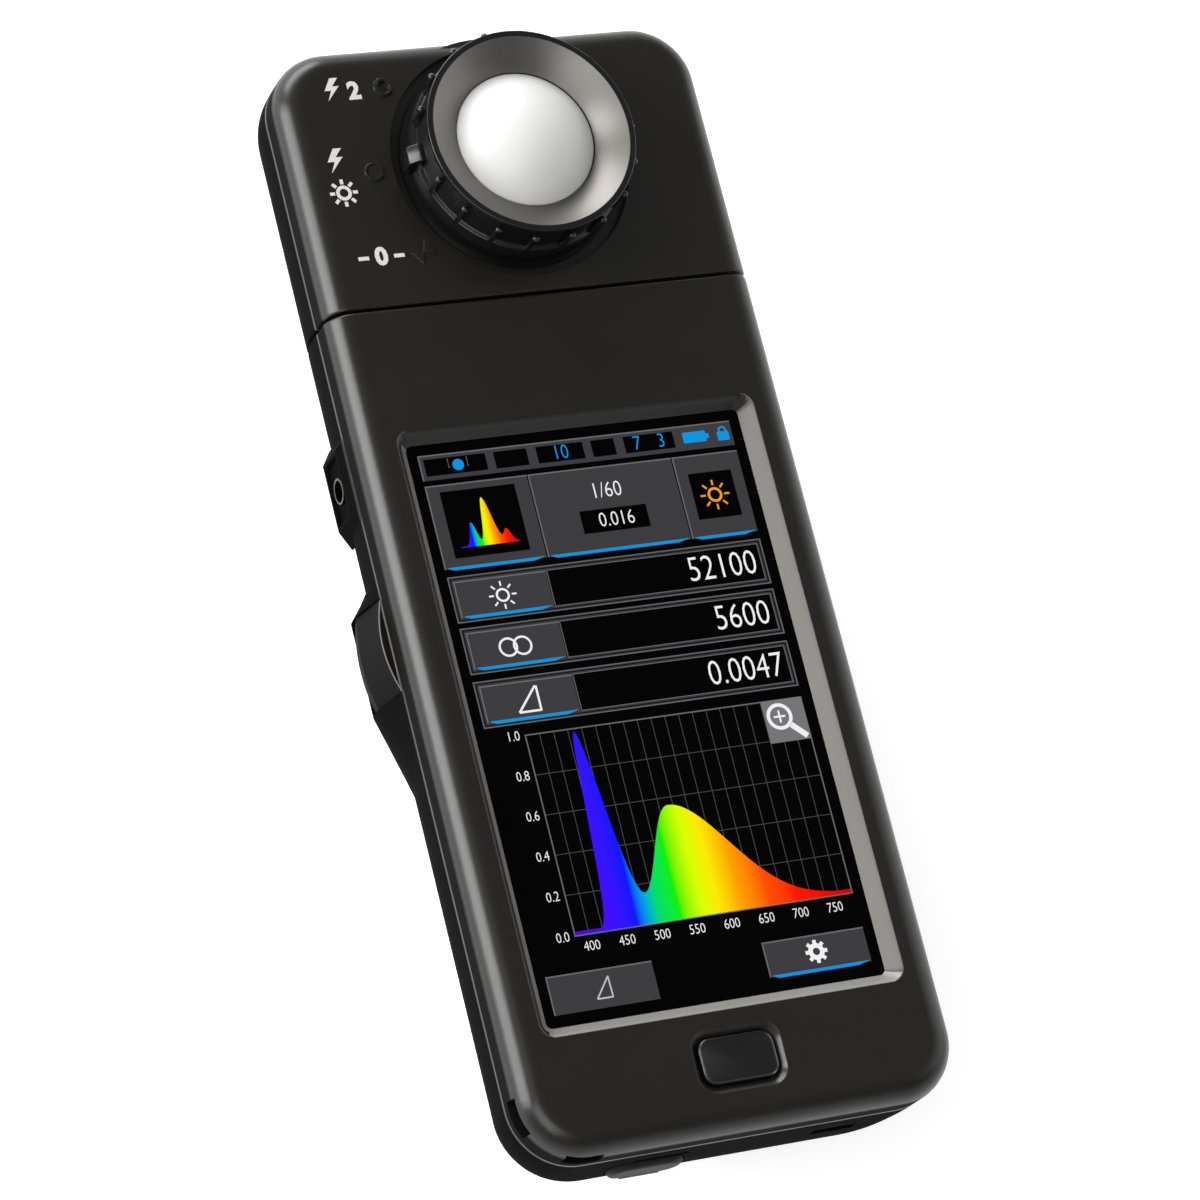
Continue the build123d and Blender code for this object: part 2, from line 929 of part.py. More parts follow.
def side_boss(side):
    """Makes the low raised plate around the terminal or the power button."""
    base_high = boss_face_high + (boss_rise + boss_root) * boss_top_slope
    with BuildPart() as boss:
        with BuildSketch(Plane.YZ.offset(side * (half_width - boss_root))):
            with Locations((boss_centre_y, (boss_base_low + base_high) / 2)):
                Rectangle(boss_base_length, base_high - boss_base_low)
        with BuildSketch(Plane.YZ.offset(side * (half_width + boss_rise))):
            with Locations((boss_centre_y, (boss_face_low + boss_face_high) / 2)):
                Rectangle(boss_face_length, boss_face_high - boss_face_low)
        loft()
        block(
            -device_width,
            device_width,
            -device_length,
            device_length,
            0,
            parting_height,
            mode=Mode.INTERSECT,
        )
    return boss.part


def boss_pocket(side):
    """Makes the cutter for the shallow pocket in the face of a side boss."""
    face_x = side * (half_width + boss_rise - boss_pocket_depth)
    back_x = side * (half_width + boss_rise + overrun)
    block(
        min(face_x, back_x),
        max(face_x, back_x),
        boss_centre_y - boss_face_length / 2 + boss_pocket_rim,
        boss_centre_y + boss_face_length / 2 - boss_pocket_rim,
        boss_face_low + boss_pocket_rim,
        boss_face_high - boss_pocket_rim,
        mode=Mode.SUBTRACT,
    )


def battery_region(gap):
    """Fills what the battery cover takes from the back, less a gap toward the rear cover."""
    block(
        -device_width,
        device_width,
        -device_length,
        battery_edge_y - gap,
        -overrun,
        battery_parting - gap,
    )
    for side in (-1, 1):
        inner = side * (battery_side_x + gap)
        outer = side * device_width
        block(
            min(inner, outer),
            max(inner, outer),
            -device_length,
            battery_edge_y - gap,
            -overrun,
            battery_side_parting - gap,
        )


key_pocket_x = half_width - key_inner_reach
key_flange_x = key_pocket_x - seat_gap
key_flange_low = key_low - key_flange_rim
key_flange_high = chassis_bottom - loose_gap


def key_opening(side):
    """Cuts the opening of a side key and the pocket for its flange."""
    outer = side * (half_width + 2 * device_depth)
    inner = side * (key_pocket_x - overrun)
    block(
        min(outer, inner),
        max(outer, inner),
        key_low_y - fit_gap,
        key_high_y + fit_gap,
        key_low - fit_gap,
        parting_height + overrun,
        mode=Mode.SUBTRACT,
    )
    pocket_outer = side * key_pocket_x
    pocket_inner = side * side_board_inner_x
    block(
        min(pocket_outer, pocket_inner),
        max(pocket_outer, pocket_inner),
        key_low_y - key_flange_rim - key_pocket_spare,
        key_high_y + key_flange_rim + key_pocket_spare,
        key_flange_low - key_pocket_spare,
        parting_height + overrun,
        mode=Mode.SUBTRACT,
    )


# Body rear cover with its bosses, terminal hole, tripod boss and the bottom end's slots
usb_flap_centre = (usb_flap_low + usb_flap_high) / 2
usb_seat_y = -half_length + usb_flap_seat_depth
nail_slot_low = usb_flap_high + loose_gap + nail_slot_rise
bush_boss_radius = bush_radius + bush_boss_rim
bush_top = bush_length

with BuildPart() as body_bosses:
    for place_x, place_y in body_screw_places[:2]:
        upright(place_x, place_y, rear_boss_radius, 0, parting_height - seat_gap)
    for side in (-1, 1):
        upright(side * chassis_post_x, chassis_post_y, chassis_post_radius, 0, chassis_bottom)
    upright(0, bush_y, bush_boss_radius, 0, bush_top)
    add(outer_back, mode=Mode.INTERSECT)

with BuildPart() as battery_opening:
    battery_region(0)

side_swellings = [button_housing(-1), button_housing(1), side_boss(-1), side_boss(1)]

with BuildPart() as body_rear_cover:
    add(outer_back)
    for swelling in side_swellings:
        add(swelling)
    trim_y(-device_length, body_end)
    end_edges = body_rear_cover.faces().sort_by(Axis.Y)[-1].edges()
    lower_edges = end_edges.filter_by(lambda edge: edge.center().Z < parting_height - seat_gap)
    fillet(lower_edges, radius=split_edge_round)
    add(body_back_room.part, mode=Mode.SUBTRACT)
    add(body_bosses.part)
    for side in (-1, 1):
        key_opening(side)
        boss_pocket(side)
    for place_x, place_y in body_screw_places[:2]:
        upright(place_x, place_y, screw_well_radius, -overrun, screw_seat_height, mode=Mode.SUBTRACT)
        upright(place_x, place_y, screw_pass_radius, 0, parting_height + overrun, mode=Mode.SUBTRACT)
    upright(0, bush_y, bush_radius, -overrun, bush_top + overrun, mode=Mode.SUBTRACT)
    with BuildSketch(Plane.XY):
        with Locations((0, label_y)):
            RectangleRounded(
                label_width + 2 * fit_gap, label_length + 2 * fit_gap, label_radius + fit_gap
            )
    extrude(amount=label_thickness, mode=Mode.SUBTRACT)
    along_y(
        0,
        swivel_height,
        neck_radius + running_gap,
        body_end - wall - overrun,
        body_end + overrun,
        mode=Mode.SUBTRACT,
    )
    along_x(
        boss_centre_y,
        terminal_height,
        terminal_sleeve_radius + screw_hole_gap,
        -half_width - boss_rise - overrun,
        -half_width + wall + overrun,
        mode=Mode.SUBTRACT,
    )
    with BuildSketch(Plane.YZ.offset(half_width - wall - overrun)):
        with Locations((boss_centre_y, terminal_height)):
            RectangleRounded(
                power_key_length + 2 * loose_gap,
                power_key_height + 2 * loose_gap,
                power_key_radius + loose_gap,
            )
    extrude(amount=wall + boss_rise + 2 * overrun, mode=Mode.SUBTRACT)
    with BuildSketch(Plane.XZ.offset(-usb_seat_y)):
        with Locations((usb_x, usb_flap_centre)):
            RectangleRounded(
                usb_flap_width + 2 * loose_gap,
                usb_flap_high - usb_flap_low + 2 * loose_gap,
                usb_flap_corner + loose_gap,
            )
    extrude(amount=usb_flap_seat_depth + overrun, mode=Mode.SUBTRACT)
    block(
        usb_x - usb_mouth_width / 2,
        usb_x + usb_mouth_width / 2,
        usb_seat_y - overrun,
        -half_length + wall + overrun,
        usb_flap_centre - usb_plug_height / 2 - usb_mouth_spare,
        usb_flap_centre + usb_plug_height / 2 + usb_mouth_spare,
        mode=Mode.SUBTRACT,
    )
    block(
        nail_slot_x - nail_slot_length / 2,
        nail_slot_x + nail_slot_length / 2,
        -half_length - overrun,
        -half_length + nail_slot_depth,
        nail_slot_low,
        nail_slot_low + nail_slot_height,
        mode=Mode.SUBTRACT,
    )
    block(
        lock_slot_x - lock_slot_width / 2,
        lock_slot_x + lock_slot_width / 2,
        -half_length - overrun,
        -half_length + wall + overrun,
        lock_slot_height - lock_slot_opening / 2,
        lock_slot_height + lock_slot_opening / 2,
        mode=Mode.SUBTRACT,
    )
    add(battery_opening.part, mode=Mode.SUBTRACT)
body_rear_cover.part.label = "body_rear_cover"
export_step(body_rear_cover.part, "parts/body_rear_cover.step")


# Battery cover: the lower part of the back, which slides off toward the bottom end
cover_edge_y = battery_edge_y - fit_gap
lock_rest_x = lock_slot_x + lock_travel / 2
lock_plate_low_y = -half_length + wall + fit_gap
lock_plate_high_y = lock_plate_low_y + lock_plate_thickness
with BuildPart() as cover_region:
    battery_region(fit_gap)

with BuildPart() as battery_cover:
    add(outer_back)
    add(inner_back, mode=Mode.SUBTRACT)
    add(cover_region.part, mode=Mode.INTERSECT)
    block(
        cover_tongue_low_x,
        cover_tongue_high_x,
        cover_edge_y - cover_tongue_length,
        cover_edge_y + cover_tongue_length,
        wall + fit_gap,
        wall + fit_gap + cover_tongue_thickness,
    )
    block(
        cover_tongue_low_x,
        cover_tongue_high_x,
        cover_edge_y - cover_tongue_length,
        cover_edge_y,
        wall / 2,
        wall + fit_gap,
    )
    block(
        lock_rest_x - lock_tail_width / 2 - fit_gap - cover_lug_width,
        lock_rest_x - lock_tail_width / 2 - fit_gap,
        lock_plate_high_y + fit_gap,
        lock_plate_high_y + fit_gap + cover_lug_thickness,
        wall / 2,
        cover_lug_top,
    )
    for step in range(cover_grip_count):
        grip_y = cover_grip_y - step * cover_grip_pitch
        block(
            -cover_grip_width / 2,
            cover_grip_width / 2,
            grip_y - cover_grip_thickness / 2,
            grip_y + cover_grip_thickness / 2,
            -overrun,
            cover_grip_depth,
            mode=Mode.SUBTRACT,
        )
battery_cover.part.label = "battery_cover"
export_step(battery_cover.part, "parts/battery_cover.step")


# Lock slider: pushed to the left, its tail stands in the way of the battery cover's lug
with BuildPart() as battery_lock:
    block(
        lock_rest_x - lock_slot_width / 2 - lock_travel / 2,
        lock_rest_x + lock_slot_width / 2 + lock_travel / 2,
        lock_plate_low_y,
        lock_plate_high_y,
        lock_slot_height - lock_slot_opening / 2 - lock_plate_margin,
        lock_slot_height + lock_slot_opening / 2 + lock_plate_margin,
    )
    block(
        lock_rest_x - lock_knob_width / 2,
        lock_rest_x + lock_knob_width / 2,
        -half_length + lock_knob_recess,
        lock_plate_low_y,
        lock_slot_height - lock_slot_opening / 2 + fit_gap,
        lock_slot_height + lock_slot_opening / 2 - fit_gap,
    )
    block(
        lock_rest_x - lock_tail_width / 2,
        lock_rest_x + lock_tail_width / 2,
        lock_plate_high_y - lock_tail_thickness,
        lock_plate_high_y,
        lock_tail_low,
        lock_slot_height - lock_slot_opening / 2,
    )
battery_lock.part.label = "battery_lock"
export_step(battery_lock.part, "parts/battery_lock.step")


# Battery tray: a well for two cells, a floor panel beside it, two posts and one screw column
cell_high_y = cell_low_y + cell_length
tray_high = cell_height + cell_radius + tray_cell_gap + tray_roof
well_low_x = cell_inner_x - cell_radius - tray_cell_gap
well_high_x = cell_outer_x + cell_radius + tray_cell_gap
well_low_y = cell_low_y - spring_length
well_high_y = cell_high_y + contact_plate_thickness
tray_low_y = well_low_y - tray_end_wall
tray_high_y = well_high_y + tray_end_wall

tray_room = back_solid(wall + loose_gap)

with BuildPart() as battery_tray:
    block(
        well_low_x - tray_inner_wall,
        well_high_x + tray_wall,
        tray_low_y,
        tray_high_y,
        tray_low,
        tray_high,
    )
    block(
        tray_panel_x,
        well_low_x - tray_inner_wall,
        tray_low_y,
        battery_edge_y,
        tray_low,
        tray_low + tray_panel_thickness,
    )
    add(tray_room, mode=Mode.INTERSECT)
    block(
        well_low_x,
        well_high_x,
        well_low_y,
        well_high_y,
        tray_low - overrun,
        tray_high - tray_roof,
        mode=Mode.SUBTRACT,
    )
    upright(
        tray_post_places[0][0],
        tray_post_places[0][1],
        tray_post_radius,
        tray_low + tray_panel_thickness,
        chassis_bottom,
    )
    upright(tray_post_places[1][0], tray_post_places[1][1], tray_post_radius, tray_high, chassis_bottom)
    upright(tray_screw_x, tray_screw_y, rear_boss_radius, tray_low, parting_height - seat_gap)
    tray_screw_seat = tray_low + screw_seat_height - wall
    upright(
        tray_screw_x,
        tray_screw_y,
        screw_well_radius,
        tray_low - overrun,
        tray_screw_seat,
        mode=Mode.SUBTRACT,
    )
    upright(
        tray_screw_x,
        tray_screw_y,
        screw_pass_radius,
        tray_low,
        parting_height + overrun,
        mode=Mode.SUBTRACT,
    )
battery_tray.part.label = "battery_tray"
export_step(battery_tray.part, "parts/battery_tray.step")


def battery_cell(x, low_y):
    """Makes one cell with its raised positive cap at the upper end."""
    along_y(x, cell_height, cell_radius, low_y, low_y + cell_length - cell_cap_length)
    along_y(x, cell_height, cell_cap_radius, low_y + cell_length - cell_cap_length, low_y + cell_length)


with BuildPart() as battery_cell_inner:
    battery_cell(cell_inner_x, cell_low_y)
battery_cell_inner.part.label = "battery_cell_inner"
export_step(battery_cell_inner.part, "parts/battery_cell_inner.step")

with BuildPart() as battery_cell_outer:
    battery_cell(cell_outer_x, cell_low_y)
battery_cell_outer.part.label = "battery_cell_outer"
export_step(battery_cell_outer.part, "parts/battery_cell_outer.step")

with BuildPart() as battery_contacts:
    for contact_x in (cell_inner_x, cell_outer_x):
        block(
            contact_x - contact_plate_width / 2,
            contact_x + contact_plate_width / 2,
            cell_high_y,
            well_high_y,
            cell_height - contact_plate_height / 2,
            cell_height + contact_plate_height / 2,
        )
battery_contacts.part.label = "battery_contacts"
export_step(battery_contacts.part, "parts/battery_contacts.step")

# Each battery spring stands on a back plate and fills a tapered room up to its cell
with BuildPart() as battery_springs:
    for spring_x in (cell_inner_x, cell_outer_x):
        along_y(
            spring_x,
            cell_height,
            spring_radius + spring_wire,
            well_low_y,
            well_low_y + spring_wire / 2,
        )
        ring_room = spring_length - spring_wire / 2
        with BuildSketch(Plane.XY.offset(cell_height)):
            with BuildLine():
                Polyline(
                    (spring_x, well_low_y + spring_wire / 2),
                    (spring_x + spring_radius, well_low_y + spring_wire / 2),
                    (
                        spring_x + spring_radius - spring_wire,
                        well_low_y + spring_wire / 2 + ring_room / spring_turns,
                    ),
                    (spring_x + spring_radius / 2, cell_low_y),
                    (spring_x, cell_low_y),
                    close=True,
                )
            make_face()
        revolve(axis=Axis((spring_x, 0, cell_height), (0, 1, 0)))
battery_springs.part.label = "battery_springs"
export_step(battery_springs.part, "parts/battery_springs.step")


# Side keys and their switches
def side_key(side):
    """Makes a side button with a bulged face and a flange that holds it in its pocket."""
    levels = [
        (key_low, half_width + key_low_reach, key_wide_bulge),
        (key_wide_height, half_width + key_wide_reach, key_wide_bulge),
        (parting_height - fit_gap, half_width, key_seam_bulge),
    ]
    with BuildPart() as key:
        for height, end_x, bulge in levels:
            with BuildSketch(Plane.XY.offset(height)):
                with BuildLine():
                    Polyline(
                        (side * end_x, key_low_y),
                        (side * key_flange_x, key_low_y),
                        (side * key_flange_x, key_high_y),
                        (side * end_x, key_high_y),
                    )
                    ThreePointArc(
                        (side * end_x, key_high_y),
                        (side * (end_x + bulge), key_centre_y),
                        (side * end_x, key_low_y),
                    )
                make_face()
        loft(ruled=True)
        flange_inner = side * (key_flange_x - key_flange_thickness)
        flange_outer = side * key_flange_x
        block(
            min(flange_inner, flange_outer),
            max(flange_inner, flange_outer),
            key_low_y - key_flange_rim,
            key_high_y + key_flange_rim,
            key_flange_low,
            key_flange_high,
        )
    return key.part


side_plunger_x = key_flange_x - key_flange_thickness - button_travel - travel_spare
side_board_outer_x = side_board_inner_x + side_board_thickness


def side_switch(side, y, z, body_thickness, plunger_x):
    """Makes a small push switch that stands on a side board."""
    body_inner = side * side_board_outer_x
    body_outer = side * (side_board_outer_x + body_thickness)
    block(
        min(body_inner, body_outer),
        max(body_inner, body_outer),
        y - tact_switch_size / 2,
        y + tact_switch_size / 2,
        z - tact_switch_size / 2,
        z + tact_switch_size / 2,
    )
    plunger_tip = side * plunger_x
    along_x(y, z, tact_plunger_radius, min(body_outer, plunger_tip), max(body_outer, plunger_tip))


switch_height = (side_board_low_z + main_board_height) / 2

left_key = side_key(-1)
with BuildPart() as memory_button:
    add(left_key)
memory_button.part.label = "memory_button"
export_step(memory_button.part, "parts/memory_button.step")

with BuildPart() as memory_switch:
    side_switch(-1, key_centre_y, switch_height, tact_switch_body, side_plunger_x)
memory_switch.part.label = "memory_switch"
export_step(memory_switch.part, "parts/memory_switch.step")

right_key = side_key(1)
with BuildPart() as measure_button:
    add(right_key)
measure_button.part.label = "measure_button"
export_step(measure_button.part, "parts/measure_button.step")

with BuildPart() as measure_switch:
    side_switch(1, key_centre_y, switch_height, tact_switch_body, side_plunger_x)
measure_switch.part.label = "measure_switch"
export_step(measure_switch.part, "parts/measure_switch.step")

power_flange_high_z = terminal_height + power_key_height / 2 + loose_gap + key_flange_rim / 2
power_flange_low_z = 2 * terminal_height - power_flange_high_z
power_flange_x = inner_shell_x(power_flange_low_z) - seat_gap
power_plunger_x = power_flange_x - key_flange_thickness - button_travel - travel_spare
with BuildPart() as power_button:
    with BuildSketch(Plane.YZ.offset(power_flange_x - key_flange_thickness)):
        with Locations((boss_centre_y, terminal_height)):
            RectangleRounded(
                power_key_length + 2 * key_flange_rim,
                power_flange_high_z - power_flange_low_z,
                power_key_radius + loose_gap,
            )
    extrude(amount=key_flange_thickness)
    with BuildSketch(Plane.YZ.offset(power_flange_x)):
        with Locations((boss_centre_y, terminal_height)):
            RectangleRounded(power_key_length, power_key_height, power_key_radius)
    extrude(amount=half_width + boss_rise + power_key_stand_out - boss_pocket_depth - power_flange_x)
    fillet(power_button.edges().group_by(Axis.X)[-1], radius=menu_edge_round)
power_button.part.label = "power_button"
export_step(power_button.part, "parts/power_button.step")

with BuildPart() as power_switch:
    side_switch(1, boss_centre_y, switch_height, low_switch_body, power_plunger_x)
power_switch.part.label = "power_switch"
export_step(power_switch.part, "parts/power_switch.step")

with BuildPart() as left_switch_board:
    block(
        -side_board_outer_x,
        -side_board_inner_x,
        key_centre_y - side_board_margin,
        key_centre_y + side_board_margin,
        side_board_low_z,
        main_board_height,
    )
left_switch_board.part.label = "left_switch_board"
export_step(left_switch_board.part, "parts/left_switch_board.step")

with BuildPart() as right_switch_board:
    block(
        side_board_inner_x,
        side_board_outer_x,
        key_centre_y - side_board_margin,
        boss_centre_y + tact_switch_size / 2,
        side_board_low_z,
        main_board_height,
    )
right_switch_board.part.label = "right_switch_board"
export_step(right_switch_board.part, "parts/right_switch_board.step")


# Flash terminal on the left: a metal sleeve with an insulated centre contact
terminal_outer_x = -half_width - boss_rise + boss_pocket_depth - terminal_stand_out
terminal_inner_x = terminal_outer_x + terminal_depth
with BuildPart() as flash_terminal:
    along_x(boss_centre_y, terminal_height, terminal_sleeve_radius, terminal_outer_x, terminal_inner_x)
    along_x(
        boss_centre_y,
        terminal_height,
        terminal_bore_radius,
        terminal_outer_x - overrun,
        terminal_inner_x + overrun,
        mode=Mode.SUBTRACT,
    )
flash_terminal.part.label = "flash_terminal"
export_step(flash_terminal.part, "parts/flash_terminal.step")

with BuildPart() as flash_contact:
    along_x(
        boss_centre_y,
        terminal_height,
        contact_core_radius,
        terminal_inner_x - contact_core_thickness,
        terminal_inner_x,
    )
    along_x(
        boss_centre_y,
        terminal_height,
        contact_radius,
        terminal_inner_x - contact_length,
        terminal_inner_x,
    )
    along_x(
        boss_centre_y,
        terminal_height,
        contact_hole_radius,
        terminal_inner_x - contact_length - overrun,
        terminal_inner_x - contact_core_thickness,
        mode=Mode.SUBTRACT,
    )
flash_contact.part.label = "flash_contact"
export_step(flash_contact.part, "parts/flash_contact.step")


# USB socket, its small board, the plug between the boards and the rubber flap
usb_socket_front_y = -half_length + wall + loose_gap
usb_socket_low = usb_flap_centre - usb_socket_height / 2
usb_socket_high = usb_flap_centre + usb_socket_height / 2
usb_socket_end_y = usb_socket_front_y + usb_socket_length

with BuildPart() as usb_socket:
    block(
        usb_x - usb_socket_width / 2,
        usb_x + usb_socket_width / 2,
        usb_socket_front_y,
        usb_socket_end_y,
        usb_socket_low,
        usb_socket_high,
    )
    block(
        usb_x - usb_socket_width / 2 + usb_socket_skin,
        usb_x + usb_socket_width / 2 - usb_socket_skin,
        usb_socket_front_y - overrun,
        usb_socket_end_y - overrun,
        usb_socket_low + usb_socket_skin,
        usb_socket_high - usb_socket_skin,
        mode=Mode.SUBTRACT,
    )
    block(
        usb_x - usb_socket_width / 2 + usb_tongue_side_skins * usb_socket_skin,
        usb_x + usb_socket_width / 2 - usb_tongue_side_skins * usb_socket_skin,
        usb_socket_front_y + overrun,
        usb_socket_end_y - overrun,
        usb_flap_centre - usb_tongue_height / 2,
        usb_flap_centre + usb_tongue_height / 2,
    )
usb_socket.part.label = "usb_socket"
export_step(usb_socket.part, "parts/usb_socket.step")

with BuildPart() as usb_board:
    block(
        usb_x - usb_board_width / 2,
        usb_x + usb_board_width / 2,
        usb_socket_front_y,
        usb_socket_front_y + usb_board_length,
        usb_socket_high,
        usb_socket_high + usb_board_thickness,
    )
usb_board.part.label = "usb_board"
export_step(usb_board.part, "parts/usb_board.step")

with BuildPart() as board_plug:
    block(
        -board_tab_half_width + loose_gap,
        -board_tab_half_width + loose_gap + usb_stack_length,
        usb_socket_end_y - usb_stack_width / 2,
        usb_socket_front_y + usb_board_length,
        usb_socket_high + usb_board_thickness,
        main_board_height,
    )
board_plug.part.label = "board_plug"
export_step(board_plug.part, "parts/board_plug.step")

with BuildPart() as usb_cover:
    flap_inner_y = usb_seat_y - seat_gap
    flap_outer_y = -half_length - usb_flap_bulge
    with BuildSketch(Plane.XZ.offset(-flap_inner_y)):
        with Locations((usb_x, usb_flap_centre)):
            RectangleRounded(usb_flap_width, usb_flap_high - usb_flap_low, usb_flap_corner)
    extrude(amount=flap_inner_y - flap_outer_y)
    fillet(usb_cover.edges().group_by(Axis.Y)[0], radius=usb_flap_bulge)
    block(
        usb_x - usb_plug_width / 2,
        usb_x + usb_plug_width / 2,
        flap_inner_y,
        flap_inner_y + usb_plug_depth,
        usb_flap_centre - usb_plug_height / 2,
        usb_flap_centre + usb_plug_height / 2,
    )
    along_x(
        -half_length - usb_hinge_stand_out,
        usb_flap_low,
        usb_hinge_radius,
        usb_x - usb_flap_width / 2 + usb_flap_corner,
        usb_x + usb_flap_width / 2 - usb_flap_corner,
    )
usb_cover.part.label = "usb_cover"
export_step(usb_cover.part, "parts/usb_cover.step")


# Back of the body: tripod bush, name plate and the cover's screws
with BuildPart() as tripod_bush:
    upright(0, bush_y, bush_radius, 0, bush_length)
    upright(0, bush_y, bush_bore_radius, -overrun, bush_length + overrun, mode=Mode.SUBTRACT)
tripod_bush.part.label = "tripod_bush"
export_step(tripod_bush.part, "parts/tripod_bush.step")

with BuildPart() as rear_label:
    with BuildSketch(Plane.XY.offset(screw_hole_gap)):
        with Locations((0, label_y)):
            RectangleRounded(label_width, label_length, label_radius)
    extrude(amount=label_thickness - screw_hole_gap)
rear_label.part.label = "rear_label"
export_step(rear_label.part, "parts/rear_label.step")

with BuildPart() as body_screws:
    for place_x, place_y in body_screw_places[:2]:
        head_low = screw_seat_height - screw_head_height
        screw(place_x, place_y, head_low, screw_tip, screw_radius, screw_head_radius, screw_head_height)
    tray_head_low = tray_screw_seat - screw_head_height
    screw(
        tray_screw_x,
        tray_screw_y,
        tray_head_low,
        screw_tip,
        screw_radius,
        screw_head_radius,
        screw_head_height,
    )
body_screws.part.label = "body_screws"
export_step(body_screws.part, "parts/body_screws.step")


# Swivel: a hollow neck fixed in the head, held in the body by a clip and a friction washer
neck_low_y = body_end - wall - washer_thickness - clip_thickness - neck_tail
neck_flange_y = head_start + wall
clip_high_y = body_end - wall - washer_thickness
clip_low_y = clip_high_y - clip_thickness
neck_groove_radius = neck_radius - neck_groove_depth

with BuildPart() as neck_groove:
    along_y(0, swivel_height, neck_radius + overrun, clip_low_y - screw_hole_gap, clip_high_y)
    along_y(
        0,
        swivel_height,
        neck_groove_radius,
        clip_low_y - overrun,
        clip_high_y + overrun,
        mode=Mode.SUBTRACT,
    )

with BuildPart() as swivel_neck:
    along_y(0, swivel_height, neck_radius, neck_low_y, neck_flange_y + neck_flange_thickness)
    along_y(0, swivel_height, neck_flange_radius, neck_flange_y, neck_flange_y + neck_flange_thickness)
    add(neck_groove.part, mode=Mode.SUBTRACT)
    along_y(
        0,
        swivel_height,
        neck_bore_radius,
        neck_low_y - overrun,
        neck_flange_y + neck_flange_thickness + overrun,
        mode=Mode.SUBTRACT,
    )
swivel_neck.part.label = "swivel_neck"
export_step(swivel_neck.part, "parts/swivel_neck.step")

with BuildPart() as swivel_clip:
    along_y(0, swivel_height, clip_radius, clip_low_y, clip_high_y - screw_hole_gap)
    along_y(
        0,
        swivel_height,
        neck_groove_radius + screw_hole_gap,
        clip_low_y - overrun,
        clip_high_y + overrun,
        mode=Mode.SUBTRACT,
    )
swivel_clip.part.label = "swivel_clip"
export_step(swivel_clip.part, "parts/swivel_clip.step")

with BuildPart() as friction_washer:
    along_y(0, swivel_height, washer_radius, clip_high_y, body_end - wall - seat_gap)
    along_y(
        0,
        swivel_height,
        neck_radius + running_gap,
        clip_high_y - overrun,
        body_end,
        mode=Mode.SUBTRACT,
    )
friction_washer.part.label = "friction_washer"
export_step(friction_washer.part, "parts/friction_washer.step")

sensor_board_low_y = optics_low_y - board_gap - sensor_board_thickness
with BuildPart() as lead_socket:
    block(
        -connector_half_width,
        connector_half_width,
        main_board_top_y - connector_length,
        connector_end_y,
        connector_low_z,
        main_board_height,
    )
lead_socket.part.label = "lead_socket"
export_step(lead_socket.part, "parts/lead_socket.step")

with BuildPart() as neck_lead:
    along_y(0, swivel_height, lead_radius, connector_end_y, sensor_board_low_y - seat_gap)
neck_lead.part.label = "neck_lead"
export_step(neck_lead.part, "parts/neck_lead.step")


# Head covers
head_screw_places = [
    (side * head_screw_x, place_y) for side in (-1, 1) for place_y in (head_screw_low_y, head_screw_high_y)
]
dish_floor = device_depth - dish_depth
dish_underside = dish_floor - wall
hub_hole_radius = hub_radius + seat_gap
hub_screw_places = []
for step in range(hub_screw_count):
    screw_angle = hub_screw_first_angle + 2 * half_turn * step / hub_screw_count
    hub_screw_places.append(around(hub_screw_circle, screw_angle))
index_centre = around(mark_circle_radius, half_turn + mode_step_angle)


def index_point(along, across):
    """Gives a corner of the embossed index mark, whose length points at the receptor."""
    turn = math.radians(mode_step_angle)
    return (
        index_centre[0] + along * math.cos(turn) - across * math.sin(turn),
        index_centre[1] + along * math.sin(turn) + across * math.cos(turn),
    )


with BuildPart() as head_front_cover:
    add(outer_front)
    trim_y(head_start, device_length)
    end_edges = head_front_cover.faces().sort_by(Axis.Y)[0].edges()
    upper_edges = end_edges.filter_by(lambda edge: edge.center().Z > parting_height + overrun)
    fillet(upper_edges, radius=split_edge_round)
    add(head_front_room.part, mode=Mode.SUBTRACT)
    along_y(
        0,
        swivel_height,
        neck_radius + screw_hole_gap,
        head_start - overrun,
        head_start + wall + overrun,
        mode=Mode.SUBTRACT,
    )
    upright(0, receptor_y, dish_radius + dish_rim, dish_underside, front_underside + wall / 2)
    upright(0, receptor_y, dish_radius, dish_floor, device_depth + overrun, mode=Mode.SUBTRACT)
    upright(0, receptor_y, hub_hole_radius, parting_height, device_depth + overrun, mode=Mode.SUBTRACT)
    for place_x, place_y in head_screw_places:
        upright(place_x, place_y, front_boss_radius, parting_height, front_underside + wall / 2)
        upright(
            place_x,
            place_y,
            screw_radius + screw_hole_gap,
            parting_height - overrun,
            screw_tip + seat_gap,
            mode=Mode.SUBTRACT,
        )
    for place_x, place_y in hub_screw_places:
        upright(
            place_x,
            place_y,
            hub_screw_radius + screw_hole_gap,
            dish_underside - overrun,
            dish_underside + hub_screw_bite,
            mode=Mode.SUBTRACT,
        )
    high_x, high_y = around(mark_circle_radius, half_turn - mode_step_angle)
    upright(high_x, high_y, mark_radius, device_depth - seat_gap, device_depth + mark_rise)
    upright(
        high_x,
        high_y,
        mark_hollow_radius,
        device_depth - mark_hollow_depth,
        device_depth + mark_rise + overrun,
        mode=Mode.SUBTRACT,
    )
    middle_x, middle_y = around(mark_circle_radius, half_turn)
    upright(middle_x, middle_y, mark_radius, device_depth - seat_gap, device_depth + mark_rise)
    with BuildSketch(Plane.XY.offset(device_depth - seat_gap)):
        for side in (-1, 1):
            with BuildLine():
                Polyline(
                    index_point(-side * seat_gap, 0),
                    index_point(side * index_length / 2, index_width / 2),
                    index_point(side * index_length / 2, -index_width / 2),
                    close=True,
                )
            make_face()
    extrude(amount=seat_gap + index_rise)
head_front_cover.part.label = "head_front_cover"
